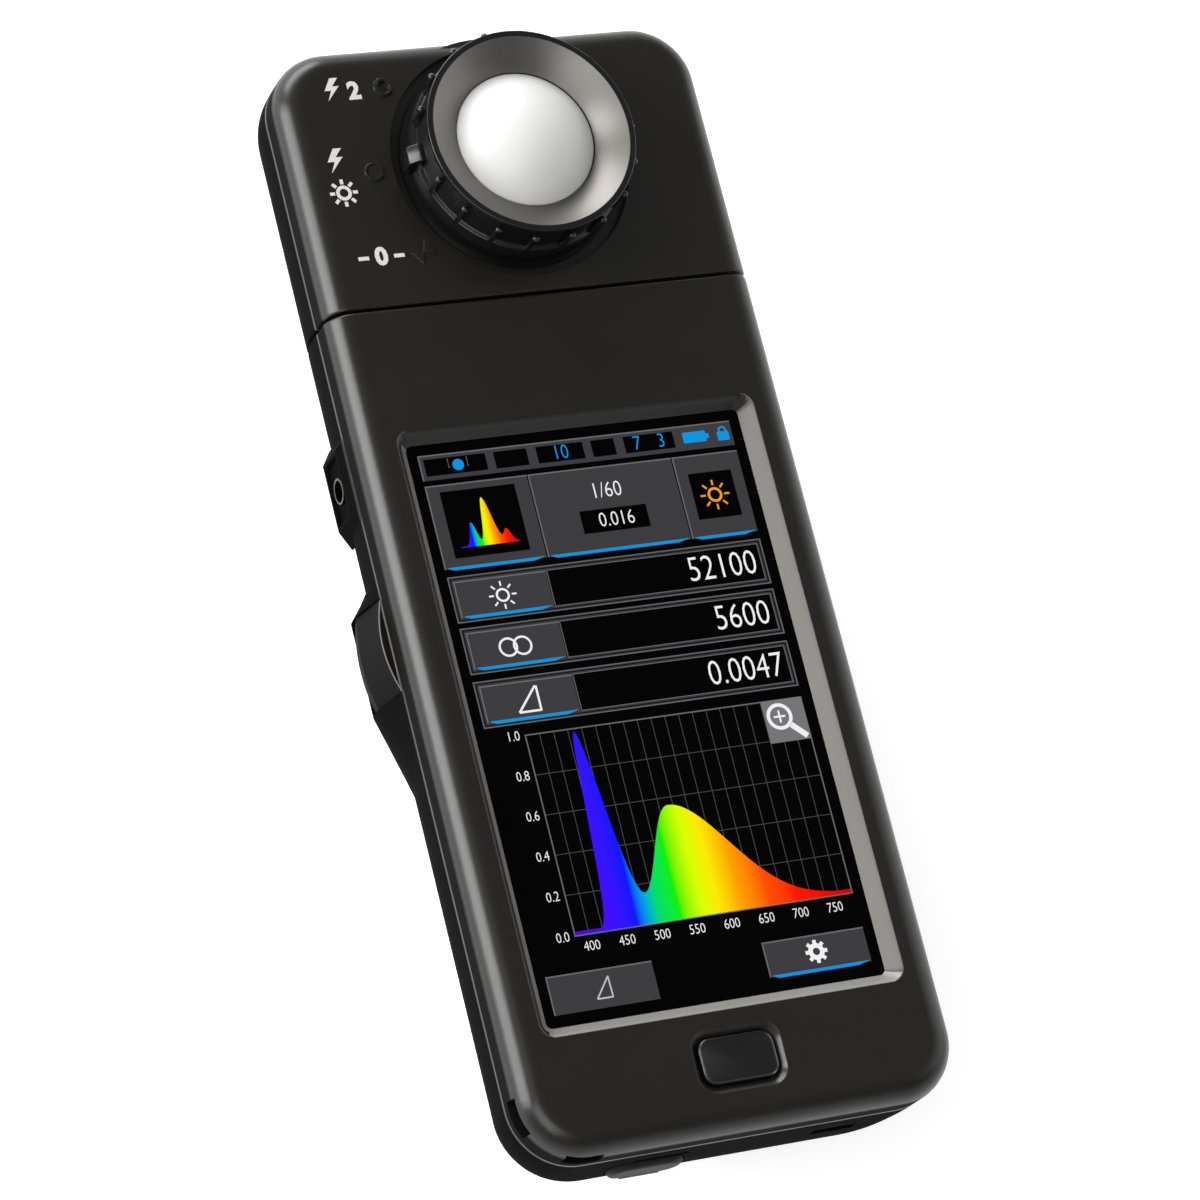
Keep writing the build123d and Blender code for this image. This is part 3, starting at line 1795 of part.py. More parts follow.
export_step(head_front_cover.part, "parts/head_front_cover.step")

optics_feet = [
    (side * (optics_half_width - optics_foot_inset), foot_y)
    for side in (-1, 1)
    for foot_y in (optics_low_y + optics_foot_inset, optics_high_y - optics_foot_inset)
]
with BuildPart() as head_bosses:
    for place_x, place_y in head_screw_places:
        upright(place_x, place_y, rear_boss_radius, 0, parting_height - seat_gap)
    for foot_x, foot_y in optics_feet:
        upright(foot_x, foot_y, optics_foot_radius, 0, optics_floor)
    add(outer_back, mode=Mode.INTERSECT)

with BuildPart() as head_rear_cover:
    add(outer_back)
    trim_y(head_start, device_length)
    end_edges = head_rear_cover.faces().sort_by(Axis.Y)[0].edges()
    lower_edges = end_edges.filter_by(lambda edge: edge.center().Z < parting_height - seat_gap)
    fillet(lower_edges, radius=split_edge_round)
    add(head_back_room.part, mode=Mode.SUBTRACT)
    add(head_bosses.part)
    for place_x, place_y in head_screw_places:
        upright(place_x, place_y, screw_well_radius, -overrun, screw_seat_height, mode=Mode.SUBTRACT)
        upright(place_x, place_y, screw_pass_radius, 0, parting_height + overrun, mode=Mode.SUBTRACT)
    along_y(
        0,
        swivel_height,
        neck_radius + screw_hole_gap,
        head_start - overrun,
        head_start + wall + overrun,
        mode=Mode.SUBTRACT,
    )
head_rear_cover.part.label = "head_rear_cover"
export_step(head_rear_cover.part, "parts/head_rear_cover.step")

with BuildPart() as head_screws:
    for place_x, place_y in head_screw_places:
        head_low = screw_seat_height - screw_head_height
        screw(place_x, place_y, head_low, screw_tip, screw_radius, screw_head_radius, screw_head_height)
head_screws.part.label = "head_screws"
export_step(head_screws.part, "parts/head_screws.step")


# Receptor hub, which the mode ring turns on
hub_flange_bottom = dish_underside - hub_flange_thickness
hub_floor_top = hub_floor_height + hub_floor_thickness
seat_height = hub_top - dome_flange_thickness - seal_thickness - seat_gap
disc_top = disc_height + disc_thickness
drive_pin_height = disc_height + disc_thickness / 2
slot_half_height = drive_pin_radius + loose_gap
slot_half_angle = mode_step_angle + drive_slot_spare_angle
guide_y = receptor_y - aperture_offset

with BuildPart() as drive_slot_cutter:
    with BuildSketch(Plane.XY.offset(drive_pin_height - slot_half_height)):
        for middle in (0, half_turn):
            with BuildLine():
                Polyline(
                    around(hub_flange_radius, middle + slot_half_angle),
                    around(0, 0),
                    around(hub_flange_radius, middle - slot_half_angle),
                )
                ThreePointArc(
                    around(hub_flange_radius, middle - slot_half_angle),
                    around(hub_flange_radius, middle),
                    around(hub_flange_radius, middle + slot_half_angle),
                )
            make_face()
    extrude(amount=2 * slot_half_height)
    upright(
        0,
        receptor_y,
        disc_radius,
        drive_pin_height - slot_half_height - overrun,
        drive_pin_height + slot_half_height + overrun,
        mode=Mode.SUBTRACT,
    )

with BuildPart() as receptor_hub:
    upright(0, receptor_y, hub_radius, hub_flange_bottom, hub_top)
    upright(0, receptor_y, hub_flange_radius, hub_flange_bottom, dish_underside)
    upright(0, receptor_y, hub_bore_radius, hub_floor_top, hub_top + overrun, mode=Mode.SUBTRACT)
    upright(0, receptor_y, hub_bore_radius, hub_flange_bottom - overrun, hub_floor_height, mode=Mode.SUBTRACT)
    upright(0, receptor_y, dome_flange_radius + seat_gap, seat_height, hub_top + overrun, mode=Mode.SUBTRACT)
    upright(0, receptor_y, disc_shoulder_radius, hub_floor_height, disc_height - seat_gap)
    upright(0, receptor_y, disc_pivot_radius, hub_floor_height, disc_top)
    upright(
        0,
        guide_y,
        guide_radius + screw_hole_gap,
        hub_floor_height - overrun,
        hub_floor_top + overrun,
        mode=Mode.SUBTRACT,
    )
    add(drive_slot_cutter.part, mode=Mode.SUBTRACT)
    for place_x, place_y in hub_screw_places:
        upright(
            place_x,
            place_y,
            hub_screw_radius + screw_hole_gap,
            hub_flange_bottom - overrun,
            dish_underside + overrun,
            mode=Mode.SUBTRACT,
        )
receptor_hub.part.label = "receptor_hub"
export_step(receptor_hub.part, "parts/receptor_hub.step")

with BuildPart() as hub_screws:
    for place_x, place_y in hub_screw_places:
        screw(
            place_x,
            place_y,
            hub_flange_bottom - hub_screw_head_height,
            dish_underside + hub_screw_bite - seat_gap,
            hub_screw_radius,
            hub_screw_head_radius,
            hub_screw_head_height,
        )
hub_screws.part.label = "hub_screws"
export_step(hub_screws.part, "parts/hub_screws.step")


# Mode ring with ribs, balls and a pointer, and the drive pins that reach the disc inside
ring_bottom = dish_floor + ring_floor_gap
ring_bore_radius = hub_radius + running_gap
pin_outer_radius = hub_radius + drive_pin_bite
pin_inner_radius = disc_radius - drive_pin_inset

with BuildPart() as mode_ring:
    with BuildSketch(Plane.XZ.offset(-receptor_y)):
        with BuildLine():
            Polyline(
                (ring_bore_radius, ring_bottom),
                (ring_foot_radius, ring_bottom),
                (ring_shoulder_radius, ring_shoulder_height),
                (ring_wall_radius, ring_shoulder_height + ring_step_rise),
                (ring_wall_radius, ring_top),
                (ring_bore_radius, ring_top),
                close=True,
            )
        make_face()
    revolve(axis=Axis((0, receptor_y, 0), (0, 0, 1)))
    for step in range(1, rib_pitch_count):
        angle = half_turn + 2 * half_turn * step / rib_pitch_count
        rib_x, rib_y = around((ring_wall_radius + rib_reach_radius) / 2 - seat_gap, angle)
        rib_middle_z = (ring_shoulder_height + rib_ball_height) / 2
        with Locations(Location((rib_x, rib_y, rib_middle_z), (0, 0, angle))):
            Box(
                rib_reach_radius - ring_wall_radius + 2 * seat_gap,
                rib_width,
                rib_ball_height - ring_shoulder_height,
            )
        ball_x, ball_y = around(rib_reach_radius - seat_gap, angle)
        with Locations((ball_x, ball_y, rib_ball_height)):
            Sphere(rib_ball_radius)
    with BuildSketch(Plane.XZ.offset(-receptor_y)):
        with BuildLine():
            Polyline(
                (-ring_wall_radius + seat_gap, pointer_low),
                (-pointer_reach_radius, pointer_low),
                (-pointer_reach_radius, pointer_high - pointer_slope),
                (-ring_wall_radius - pointer_slope / 2, pointer_high),
                (-ring_wall_radius + seat_gap, pointer_high),
                close=True,
            )
        make_face()
    extrude(amount=pointer_width / 2, both=True)
    for side in (-1, 1):
        along_x(
            receptor_y,
            drive_pin_height,
            drive_pin_radius + screw_hole_gap,
            min(side * (hub_radius - overrun), side * (pin_outer_radius + screw_hole_gap)),
            max(side * (hub_radius - overrun), side * (pin_outer_radius + screw_hole_gap)),
            mode=Mode.SUBTRACT,
        )
mode_ring.part.label = "mode_ring"
export_step(mode_ring.part, "parts/mode_ring.step")

with BuildPart() as mode_disc:
    upright(0, receptor_y, disc_radius, disc_height, disc_top)
    upright(
        0,
        receptor_y,
        disc_pivot_radius + running_gap,
        disc_height - overrun,
        disc_top + overrun,
        mode=Mode.SUBTRACT,
    )
    for angle in (aperture_angle, aperture_angle + mode_step_angle):
        hole_x, hole_y = around(aperture_offset, angle)
        upright(
            hole_x,
            hole_y,
            aperture_radius,
            disc_height - overrun,
            disc_top + overrun,
            mode=Mode.SUBTRACT,
        )
    for side in (-1, 1):
        block(
            min(side * pin_inner_radius, side * (disc_radius + overrun)),
            max(side * pin_inner_radius, side * (disc_radius + overrun)),
            receptor_y - drive_pin_radius - screw_hole_gap,
            receptor_y + drive_pin_radius + screw_hole_gap,
            disc_height - overrun,
            disc_top + overrun,
            mode=Mode.SUBTRACT,
        )
mode_disc.part.label = "mode_disc"
export_step(mode_disc.part, "parts/mode_disc.step")

with BuildPart() as drive_pins:
    for side in (-1, 1):
        along_x(
            receptor_y,
            drive_pin_height,
            drive_pin_radius,
            min(side * (pin_inner_radius + screw_hole_gap), side * pin_outer_radius),
            max(side * (pin_inner_radius + screw_hole_gap), side * pin_outer_radius),
        )
drive_pins.part.label = "drive_pins"
export_step(drive_pins.part, "parts/drive_pins.step")

with BuildPart() as filter_glass:
    filter_x, filter_y = around(aperture_offset, aperture_angle + mode_step_angle)
    upright(
        filter_x,
        filter_y,
        filter_radius,
        disc_top,
        disc_top + filter_thickness,
    )
filter_glass.part.label = "filter_glass"
export_step(filter_glass.part, "parts/filter_glass.step")


# Receptor cone with its lip, the white dome and the dome's seal
with BuildPart() as receptor_cone:
    with BuildSketch(Plane.XZ.offset(-receptor_y)):
        with BuildLine():
            Polyline(
                (cone_throat_radius, hub_top),
                (hub_radius - cone_tube_gap, hub_top),
                (hub_radius - cone_tube_gap, cone_top - cone_lip_thickness),
                (cone_lip_radius, cone_top - cone_lip_thickness),
                (cone_lip_radius, cone_top),
                (cone_mouth_radius, cone_top),
                (cone_throat_radius, cone_throat_height),
                close=True,
            )
        make_face()
    revolve(axis=Axis((0, receptor_y, 0), (0, 0, 1)))
receptor_cone.part.label = "receptor_cone"
export_step(receptor_cone.part, "parts/receptor_cone.step")

dome_base_radius = cone_throat_radius - dome_throat_gap
dome_rise = dome_height - cone_throat_height
dome_sphere_radius = (dome_base_radius**2 + dome_rise**2) / (2 * dome_rise)
dome_centre_height = dome_height - dome_sphere_radius
dome_flange_top = hub_top - seat_gap / 2
dome_flange_bottom = dome_flange_top - dome_flange_thickness
dome_inner_sphere_radius = dome_sphere_radius - dome_thickness
dome_inner_radius = dome_base_radius - dome_thickness
dome_inner_height = dome_centre_height + math.sqrt(dome_inner_sphere_radius**2 - dome_inner_radius**2)


def dome_point(radius, angle):
    """Says where a point of the dome's section lies, at an angle up from its base plane."""
    turn = math.radians(angle)
    return (radius * math.cos(turn), dome_centre_height + radius * math.sin(turn))


with BuildPart() as diffuser_dome:
    outer_start_angle = math.degrees(math.acos(dome_base_radius / dome_sphere_radius))
    inner_start_angle = math.degrees(math.acos(dome_inner_radius / dome_inner_sphere_radius))
    with BuildSketch(Plane.XZ.offset(-receptor_y)):
        with BuildLine():
            Polyline(
                (0, dome_centre_height + dome_inner_sphere_radius),
                (0, dome_height),
            )
            ThreePointArc(
                (0, dome_height),
                dome_point(dome_sphere_radius, (quarter_turn + outer_start_angle) / 2),
                (dome_base_radius, cone_throat_height),
            )
            Polyline(
                (dome_base_radius, cone_throat_height),
                (dome_base_radius, dome_flange_top),
                (dome_flange_radius, dome_flange_top),
                (dome_flange_radius, dome_flange_bottom),
                (dome_inner_radius, dome_flange_bottom),
                (dome_inner_radius, dome_inner_height),
            )
            ThreePointArc(
                (dome_inner_radius, dome_inner_height),
                dome_point(dome_inner_sphere_radius, (quarter_turn + inner_start_angle) / 2),
                (0, dome_centre_height + dome_inner_sphere_radius),
            )
        make_face()
    revolve(axis=Axis((0, receptor_y, 0), (0, 0, 1)))
diffuser_dome.part.label = "diffuser_dome"
export_step(diffuser_dome.part, "parts/diffuser_dome.step")

with BuildPart() as dome_seal:
    upright(0, receptor_y, dome_flange_radius, seat_height, dome_flange_bottom)
    upright(
        0,
        receptor_y,
        dome_flange_radius - seal_width,
        seat_height - overrun,
        dome_flange_bottom + overrun,
        mode=Mode.SUBTRACT,
    )
dome_seal.part.label = "dome_seal"
export_step(dome_seal.part, "parts/dome_seal.step")


# Light guide and the measuring optics below the receptor
lid_top = optics_top + optics_lid_thickness
slit_plate_top = optics_top
slit_plate_bottom = slit_plate_top - slit_plate_thickness
guide_bottom = optics_top + optics_lid_thickness / 4

with BuildPart() as light_guide:
    upright(0, guide_y, guide_radius, guide_bottom, disc_height - guide_disc_gap)
light_guide.part.label = "light_guide"
export_step(light_guide.part, "parts/light_guide.step")

with BuildPart() as optics_block:
    block(-optics_half_width, optics_half_width, optics_low_y, optics_high_y, optics_floor, optics_top)
    block(
        -optics_half_width + optics_wall,
        optics_half_width - optics_wall,
        optics_low_y + optics_wall,
        optics_high_y - optics_wall,
        optics_floor + optics_wall,
        optics_top + overrun,
        mode=Mode.SUBTRACT,
    )
    block(
        sensor_offset_x - sensor_width / 2,
        sensor_offset_x + sensor_width / 2,
        optics_low_y - overrun,
        optics_low_y + optics_wall + overrun,
        optics_floor + optics_wall,
        optics_floor + optics_wall + sensor_height,
        mode=Mode.SUBTRACT,
    )
optics_block.part.label = "optics_block"
export_step(optics_block.part, "parts/optics_block.step")

with BuildPart() as optics_lid:
    block(-optics_half_width, optics_half_width, optics_low_y, optics_high_y, optics_top, lid_top)
    upright(
        0,
        guide_y,
        guide_radius + screw_hole_gap,
        optics_top - overrun,
        lid_top + overrun,
        mode=Mode.SUBTRACT,
    )
optics_lid.part.label = "optics_lid"
export_step(optics_lid.part, "parts/optics_lid.step")

with BuildPart() as slit_plate:
    block(
        -slit_plate_size / 2,
        slit_plate_size / 2,
        guide_y - slit_plate_size / 2 + overrun,
        guide_y + slit_plate_size / 2,
        slit_plate_bottom,
        slit_plate_top,
    )
    block(
        -slit_length / 2,
        slit_length / 2,
        guide_y - slit_width / 2,
        guide_y + slit_width / 2,
        slit_plate_bottom - overrun,
        slit_plate_top + overrun,
        mode=Mode.SUBTRACT,
    )
slit_plate.part.label = "slit_plate"
export_step(slit_plate.part, "parts/slit_plate.step")

cavity_floor = optics_floor + optics_wall
with BuildPart() as fold_mirror:
    with BuildSketch(Plane.YZ.offset(-mirror_size / 2)):
        with BuildLine():
            Polyline(
                (guide_y - mirror_size / 2, cavity_floor),
                (guide_y + mirror_size / 2, cavity_floor),
                (guide_y - mirror_size / 2, cavity_floor + mirror_size),
                close=True,
            )
        make_face()
    extrude(amount=mirror_size)
fold_mirror.part.label = "fold_mirror"
export_step(fold_mirror.part, "parts/fold_mirror.step")

grating_back_y = optics_high_y - optics_wall
with BuildPart() as diffraction_grating:
    block(
        -grating_width / 2,
        grating_width / 2,
        grating_back_y - grating_depth,
        grating_back_y,
        cavity_floor,
        cavity_floor + grating_height,
    )
    upright(
        0,
        grating_back_y - grating_depth - grating_curve_radius + grating_curve_depth,
        grating_curve_radius,
        cavity_floor - overrun,
        cavity_floor + grating_height + overrun,
        mode=Mode.SUBTRACT,
    )
diffraction_grating.part.label = "diffraction_grating"
export_step(diffraction_grating.part, "parts/diffraction_grating.step")

with BuildPart() as line_sensor:
    block(
        sensor_offset_x - sensor_width / 2 + seat_gap,
        sensor_offset_x + sensor_width / 2 - seat_gap,
        optics_low_y - board_gap,
        optics_low_y - board_gap + sensor_depth,
        cavity_floor,
        cavity_floor + sensor_height - seat_gap,
    )
line_sensor.part.label = "line_sensor"
export_step(line_sensor.part, "parts/line_sensor.step")

with BuildPart() as sensor_board:
    block(
        -optics_half_width,
        optics_half_width,
        sensor_board_low_y,
        optics_low_y - board_gap,
        optics_floor,
        optics_top,
    )
sensor_board.part.label = "sensor_board"
export_step(sensor_board.part, "parts/sensor_board.step")
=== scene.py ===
import math

import bmesh
import bpy
from mathutils import Matrix, Vector


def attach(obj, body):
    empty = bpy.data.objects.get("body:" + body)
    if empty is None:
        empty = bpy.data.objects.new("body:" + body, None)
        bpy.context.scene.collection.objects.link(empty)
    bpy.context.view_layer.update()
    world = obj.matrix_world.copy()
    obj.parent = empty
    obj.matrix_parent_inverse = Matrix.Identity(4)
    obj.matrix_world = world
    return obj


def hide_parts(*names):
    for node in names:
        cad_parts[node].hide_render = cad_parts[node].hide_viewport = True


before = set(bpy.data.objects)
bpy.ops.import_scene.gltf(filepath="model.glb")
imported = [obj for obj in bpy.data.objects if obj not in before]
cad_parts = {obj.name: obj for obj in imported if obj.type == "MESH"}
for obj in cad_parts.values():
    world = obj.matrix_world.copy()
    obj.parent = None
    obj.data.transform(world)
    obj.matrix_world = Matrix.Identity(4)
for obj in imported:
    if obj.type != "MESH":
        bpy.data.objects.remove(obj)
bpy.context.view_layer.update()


# The case: four covers, each one injection moulding in black ABS. The mould is spark eroded, fine on
# the front for a soft sheen and coarse on the walls and back, which look dull; the walls and back are
# also darkened in colour, a painted shade. Screws from the back hold each pair together.
mm = 0.001
case_dark = "171514"
case_light = "1b1918"
case_grain = 0.3
case_gloss = 0.3
case_wall_gloss = 0.95
# The walls' darker colour is a painted shade.
case_wall_painted_shade = "0c0b0b"
case_wall_share = 0.2
case_wall_top = 23.5
case_wall_fade = 0.5
case_seam = 19.8
case_seam_reach = 0.25
case_seam_fade = 0.15
case_edge = 0.25
mottle_size = 9.0
grain_depth = 0.02
gloss_spread = 0.06
edge_samples = 4


def srgb(hex_colour):
    """Turns an sRGB hex colour into linear values with full opacity."""
    shares = [int(hex_colour[at : at + 2], 16) / 255 for at in (0, 2, 4)]
    linear = [share / 12.92 if share <= 0.04045 else ((share + 0.055) / 1.055) ** 2.4 for share in shares]
    return (*linear, 1.0)


def add(tree, kind, settings=None, inputs=None):
    """Adds a shader node, sets its own settings, and fills its inputs with values or links."""
    made = tree.nodes.new(kind)
    for name, value in (settings or {}).items():
        setattr(made, name, value)
    for name, value in (inputs or {}).items():
        if isinstance(value, bpy.types.NodeSocket):
            tree.links.new(value, made.inputs[name])
        else:
            made.inputs[name].default_value = value
    return made


def start_material(name):
    """Starts an empty material and gives it with its node tree and its object coordinates."""
    material = bpy.data.materials.new(name)
    material.use_nodes = True
    tree = material.node_tree
    tree.nodes.clear()
    place = add(tree, "ShaderNodeTexCoord").outputs["Object"]
    return material, tree, place


def moulded(name, dark, light, grain, gloss, specular=0.4, relief=0.12, edge=0.12, wall_gloss=None):
    """A moulded surface: two near shades in a soft mottle, and the mould's grain in gloss and bump.

    The grain is drawn coarser than the real one, so that it shows. The edge is the rounding that the
    mould leaves on sharp corners. With a wall gloss, the walls below the front are duller and take a
    darker colour as a painted shade, but for the polished parting line.
    """
    material, tree, place = start_material(name)
    mottle = add(
        tree, "ShaderNodeTexNoise", inputs={"Vector": place, "Scale": 1 / (mottle_size * mm), "Detail": 2.0}
    )
    shade = add(
        tree,
        "ShaderNodeMixRGB",
        inputs={"Fac": mottle.outputs["Fac"], "Color1": srgb(dark), "Color2": srgb(light)},
    )
    grains = add(
        tree, "ShaderNodeTexNoise", inputs={"Vector": place, "Scale": 1 / (grain * mm), "Detail": 2.0}
    )
    shine = add(
        tree,
        "ShaderNodeMapRange",
        inputs={
            "Value": grains.outputs["Fac"],
            "To Min": gloss - gloss_spread,
            "To Max": gloss + gloss_spread,
        },
    )
    gloss_found = shine.outputs["Result"]
    colour_found = shade.outputs["Color"]
    specular_found = specular
    if wall_gloss:
        height = add(tree, "ShaderNodeSeparateXYZ", inputs={"Vector": place}).outputs["Z"]
        front = add(
            tree,
            "ShaderNodeMapRange",
            inputs={
                "Value": height,
                "From Min": (case_wall_top - case_wall_fade) * mm,
                "From Max": (case_wall_top + case_wall_fade) * mm,
            },
        )
        below = add(tree, "ShaderNodeMath", {"operation": "SUBTRACT"}, {0: height, 1: case_seam * mm})
        away = add(tree, "ShaderNodeMath", {"operation": "ABSOLUTE"}, {0: below.outputs["Value"]})
        seam = add(
            tree,
            "ShaderNodeMapRange",
            inputs={
                "Value": away.outputs["Value"],
                "From Min": case_seam_reach * mm,
                "From Max": (case_seam_reach + case_seam_fade) * mm,
                "To Min": 1.0,
                "To Max": 0.0,
            },
        )
        fine = add(
            tree,
            "ShaderNodeMath",
            {"operation": "MAXIMUM"},
            {0: front.outputs["Result"], 1: seam.outputs["Result"]},
        )
        gloss_found = add(
            tree,
            "ShaderNodeMapRange",
            inputs={"Value": fine.outputs["Value"], "To Min": wall_gloss, "To Max": gloss_found},
        ).outputs["Result"]
        specular_found = add(
            tree,
            "ShaderNodeMapRange",
            inputs={
                "Value": fine.outputs["Value"],
                "To Min": specular * case_wall_share,
                "To Max": specular,
            },
        ).outputs["Result"]
        # Painted shade: below the front the colour turns to the darker wall colour, but for the parting
        # line.
        colour_found = add(
            tree,
            "ShaderNodeMixRGB",
            inputs={
                "Fac": fine.outputs["Value"],
                "Color1": srgb(case_wall_painted_shade),
                "Color2": colour_found,
            },
        ).outputs["Color"]
    bump = add(
        tree,
        "ShaderNodeBump",
        inputs={"Strength": relief, "Distance": grain_depth * mm, "Height": grains.outputs["Fac"]},
    )
    if edge:
        rounding = add(tree, "ShaderNodeBevel", {"samples": edge_samples}, {"Radius": edge * mm})
        tree.links.new(rounding.outputs["Normal"], bump.inputs["Normal"])
    shader = add(
        tree,
        "ShaderNodeBsdfPrincipled",
        inputs={
            "Base Color": colour_found,
            "Roughness": gloss_found,
            "Specular IOR Level": specular_found,
            "Normal": bump.outputs["Normal"],
        },
    )
    add(tree, "ShaderNodeOutputMaterial", inputs={"Surface": shader.outputs["BSDF"]})
    return material


def dress(material, *names):
    """Gives CAD nodes the finish that the real pieces have."""
    for name in names:
        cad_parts[name].material_slots[0].material = material


# Moulded ABS, spark eroded: warm black with a broad soft sheen on the front and none on the walls,
# which are also darkened in colour as a painted shade.
case_abs = moulded(
    "moulded_abs_satin_black",
    case_dark,
    case_light,
    case_grain,
    case_gloss,
    0.5,
    0.1,
    case_edge,
    case_wall_gloss,
)
dress(case_abs, "head_front_cover", "body_front_cover")
# The rear covers and the battery cover take the same painted shade on their walls, which are nearly all of
# them.
rear_abs = moulded(
    "moulded_abs_coarse_black", "0f0e0e", "141312", 0.4, case_gloss, 0.2, 0.12, case_edge, case_wall_gloss
)
dress(rear_abs, "head_rear_cover", "body_rear_cover", "battery_cover")


# The window surround: a thin trim pressed into the sloping sides of the window, moulded in black ABS.
# Its slopes carry painted light and shade through a mask: black painted shade on the top slope and the
# upper half of the left slope, a pale grey painted highlight on the bottom slope and the rest of the
# left one, and a mid grey on the rest, chiefly the right slope.
window_x = 0.0
window_y = -23.65
window_outer = (61.2, 98.6, 2.4)
window_inner = (57.2, 95.1, 1.0)
window_top = 27.0
window_foot = 24.55
trim_thickness = 0.04
trim_lip = 0.12
trim_inset = 0.12
trim_rise = 0.02
trim_drop = 0.04
trim_foot = 0.05
sloped = 0.4


def rounded_sheet(mesh, centre, size, level):
    """Adds a flat rectangle with rounded corners to a mesh, as (width, length, corner radius)."""
    width, length, radius = size
    before = set(mesh.faces)
    made = bmesh.ops.create_grid(mesh, x_segments=1, y_segments=1, size=0.5)["verts"]
    bmesh.ops.scale(mesh, vec=(width * mm, length * mm, 1), verts=made)
    bmesh.ops.translate(mesh, vec=(centre[0] * mm, centre[1] * mm, level * mm), verts=made)
    if radius:
        bmesh.ops.bevel(
            mesh, geom=made, offset=radius * mm, segments=6, profile=0.5, affect="VERTICES", material=-1
        )
    return [face for face in mesh.faces if face not in before]


def thicken(mesh, faces, height):
    """Pulls flat faces up into a closed slab."""
    grown = bmesh.ops.extrude_face_region(mesh, geom=faces)["geom"]
    verts = [part for part in grown if isinstance(part, bmesh.types.BMVert)]
    bmesh.ops.translate(mesh, vec=(0, 0, height * mm), verts=verts)
    return verts


def piece(mesh, name, materials, body, replaces=(), sharp_angle=32):
    """Makes a finished mesh into a piece that rides on a body and stands for CAD nodes."""
    bmesh.ops.recalc_face_normals(mesh, faces=mesh.faces)
    data = bpy.data.meshes.new(name)
    mesh.to_mesh(data)
    mesh.free()
    for material in materials:
        data.materials.append(material)
    data.polygons.foreach_set("use_smooth", [True] * len(data.polygons))
    data.set_sharp_from_angle(angle=math.radians(sharp_angle))
    made = bpy.data.objects.new(name, data)
    bpy.context.scene.collection.objects.link(made)
    if replaces:
        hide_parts(*replaces)
    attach(made, body)
    return made


def joined_rims(mesh, centre, rims, closed=False):
    """Joins rounded rectangles at several levels, each (width, length, corner radius, level)."""
    edge_loops = []
    for number, (width, length, radius, level) in enumerate(rims):
        faces = rounded_sheet(mesh, centre, (width, length, radius), level)
        edge_loops.append([edge for face in faces for edge in face.edges])
        if not closed or 0 < number < len(rims) - 1:
            bmesh.ops.delete(mesh, geom=faces, context="FACES_ONLY")
    for outer, inner in zip(edge_loops, edge_loops[1:]):
        bmesh.ops.bridge_loops(mesh, edges=outer + inner)
    bmesh.ops.recalc_face_normals(mesh, faces=mesh.faces)


# Three coats for the one trim: a mid grey, a black painted shade and a pale grey painted highlight.
trim_coat_mid_tone = moulded("mid_grey_painted_tone_on_trim", "504b46", "58534e", 0.25, 0.34, 0.34, 0.05, 0.0)
trim_coat_painted_shade = moulded(
    "black_painted_shade_on_trim", case_dark, case_light, case_grain, case_gloss, 0.5, 0.05, 0.0
)
trim_coat_painted_highlight = moulded("pale_grey_painted_highlight_on_trim", "83817e", "8b8986", 0.25, 0.34, 0.5, 0.05, 0.0)
trim_middle = [(outer + inner) / 2 for outer, inner in zip(window_outer, window_inner)]
window_middle = (window_top + window_foot) / 2
trim_mesh = bmesh.new()
trim_rims = (
    (window_outer[0] + trim_lip, window_outer[1] + trim_lip, window_outer[2], window_top + trim_rise),
    (window_outer[0] - trim_lip, window_outer[1] - trim_lip, window_outer[2], window_top - trim_drop),
    (*trim_middle, window_middle),
    (window_inner[0] - trim_inset, window_inner[1] - trim_inset, window_inner[2], window_foot + trim_foot),
)
joined_rims(trim_mesh, (window_x, window_y), trim_rims)
if sum(face.normal.z for face in trim_mesh.faces) < 0:
    bmesh.ops.reverse_faces(trim_mesh, faces=trim_mesh.faces)
# Painted light and shade by the slope's facing: pale for the lit bottom and lower left slopes, black for the
# shaded top and upper left ones.
for face in trim_mesh.faces:
    upper = face.calc_center_median().z > window_middle * mm
    face.material_index = 2 if max(face.normal.x, face.normal.y) > sloped else 0
    if face.normal.y < -sloped or (face.normal.x > sloped and upper):
        face.material_index = 1
bmesh.ops.solidify(trim_mesh, geom=trim_mesh.faces[:], thickness=trim_thickness * mm)
piece(trim_mesh, "window_trim", [trim_coat_mid_tone, trim_coat_painted_shade, trim_coat_painted_highlight], "body")


# The touch glass: chemically hardened glass, bonded over the display. Its border and the unlit
# panel behind it look black, and a coating keeps reflections low.
glass_material, tree, place = start_material("coated_glass_over_black")
smears = add(tree, "ShaderNodeTexNoise", inputs={"Vector": place, "Scale": 1 / (14 * mm), "Detail": 3.0})
smear_shine = add(
    tree, "ShaderNodeMapRange", inputs={"Value": smears.outputs["Fac"], "To Min": 0.06, "To Max": 0.14}
)
smear_shade = add(
    tree,
    "ShaderNodeMixRGB",
    inputs={"Fac": smears.outputs["Fac"], "Color1": srgb("010101"), "Color2": srgb("030303")},
)
glass_shader = add(
    tree,
    "ShaderNodeBsdfPrincipled",
    inputs={
        "Base Color": smear_shade.outputs["Color"],
        "Roughness": smear_shine.outputs["Result"],
        "Specular IOR Level": 0.06,
    },
)
add(tree, "ShaderNodeOutputMaterial", inputs={"Surface": glass_shader.outputs["BSDF"]})
dress(glass_material, "touch_glass")


# The display's picture: a lit liquid crystal panel under the glass. Each kind of lit area is a
# separate thin layer, and its layout is a plain one of numbers, tiles, a chart and small signs.
screen_x = 0.0
screen_y = -23.47
screen_level = 24.4
screen_layer = 0.016
screen_half_width = 26.8
screen_cloud = 16.0


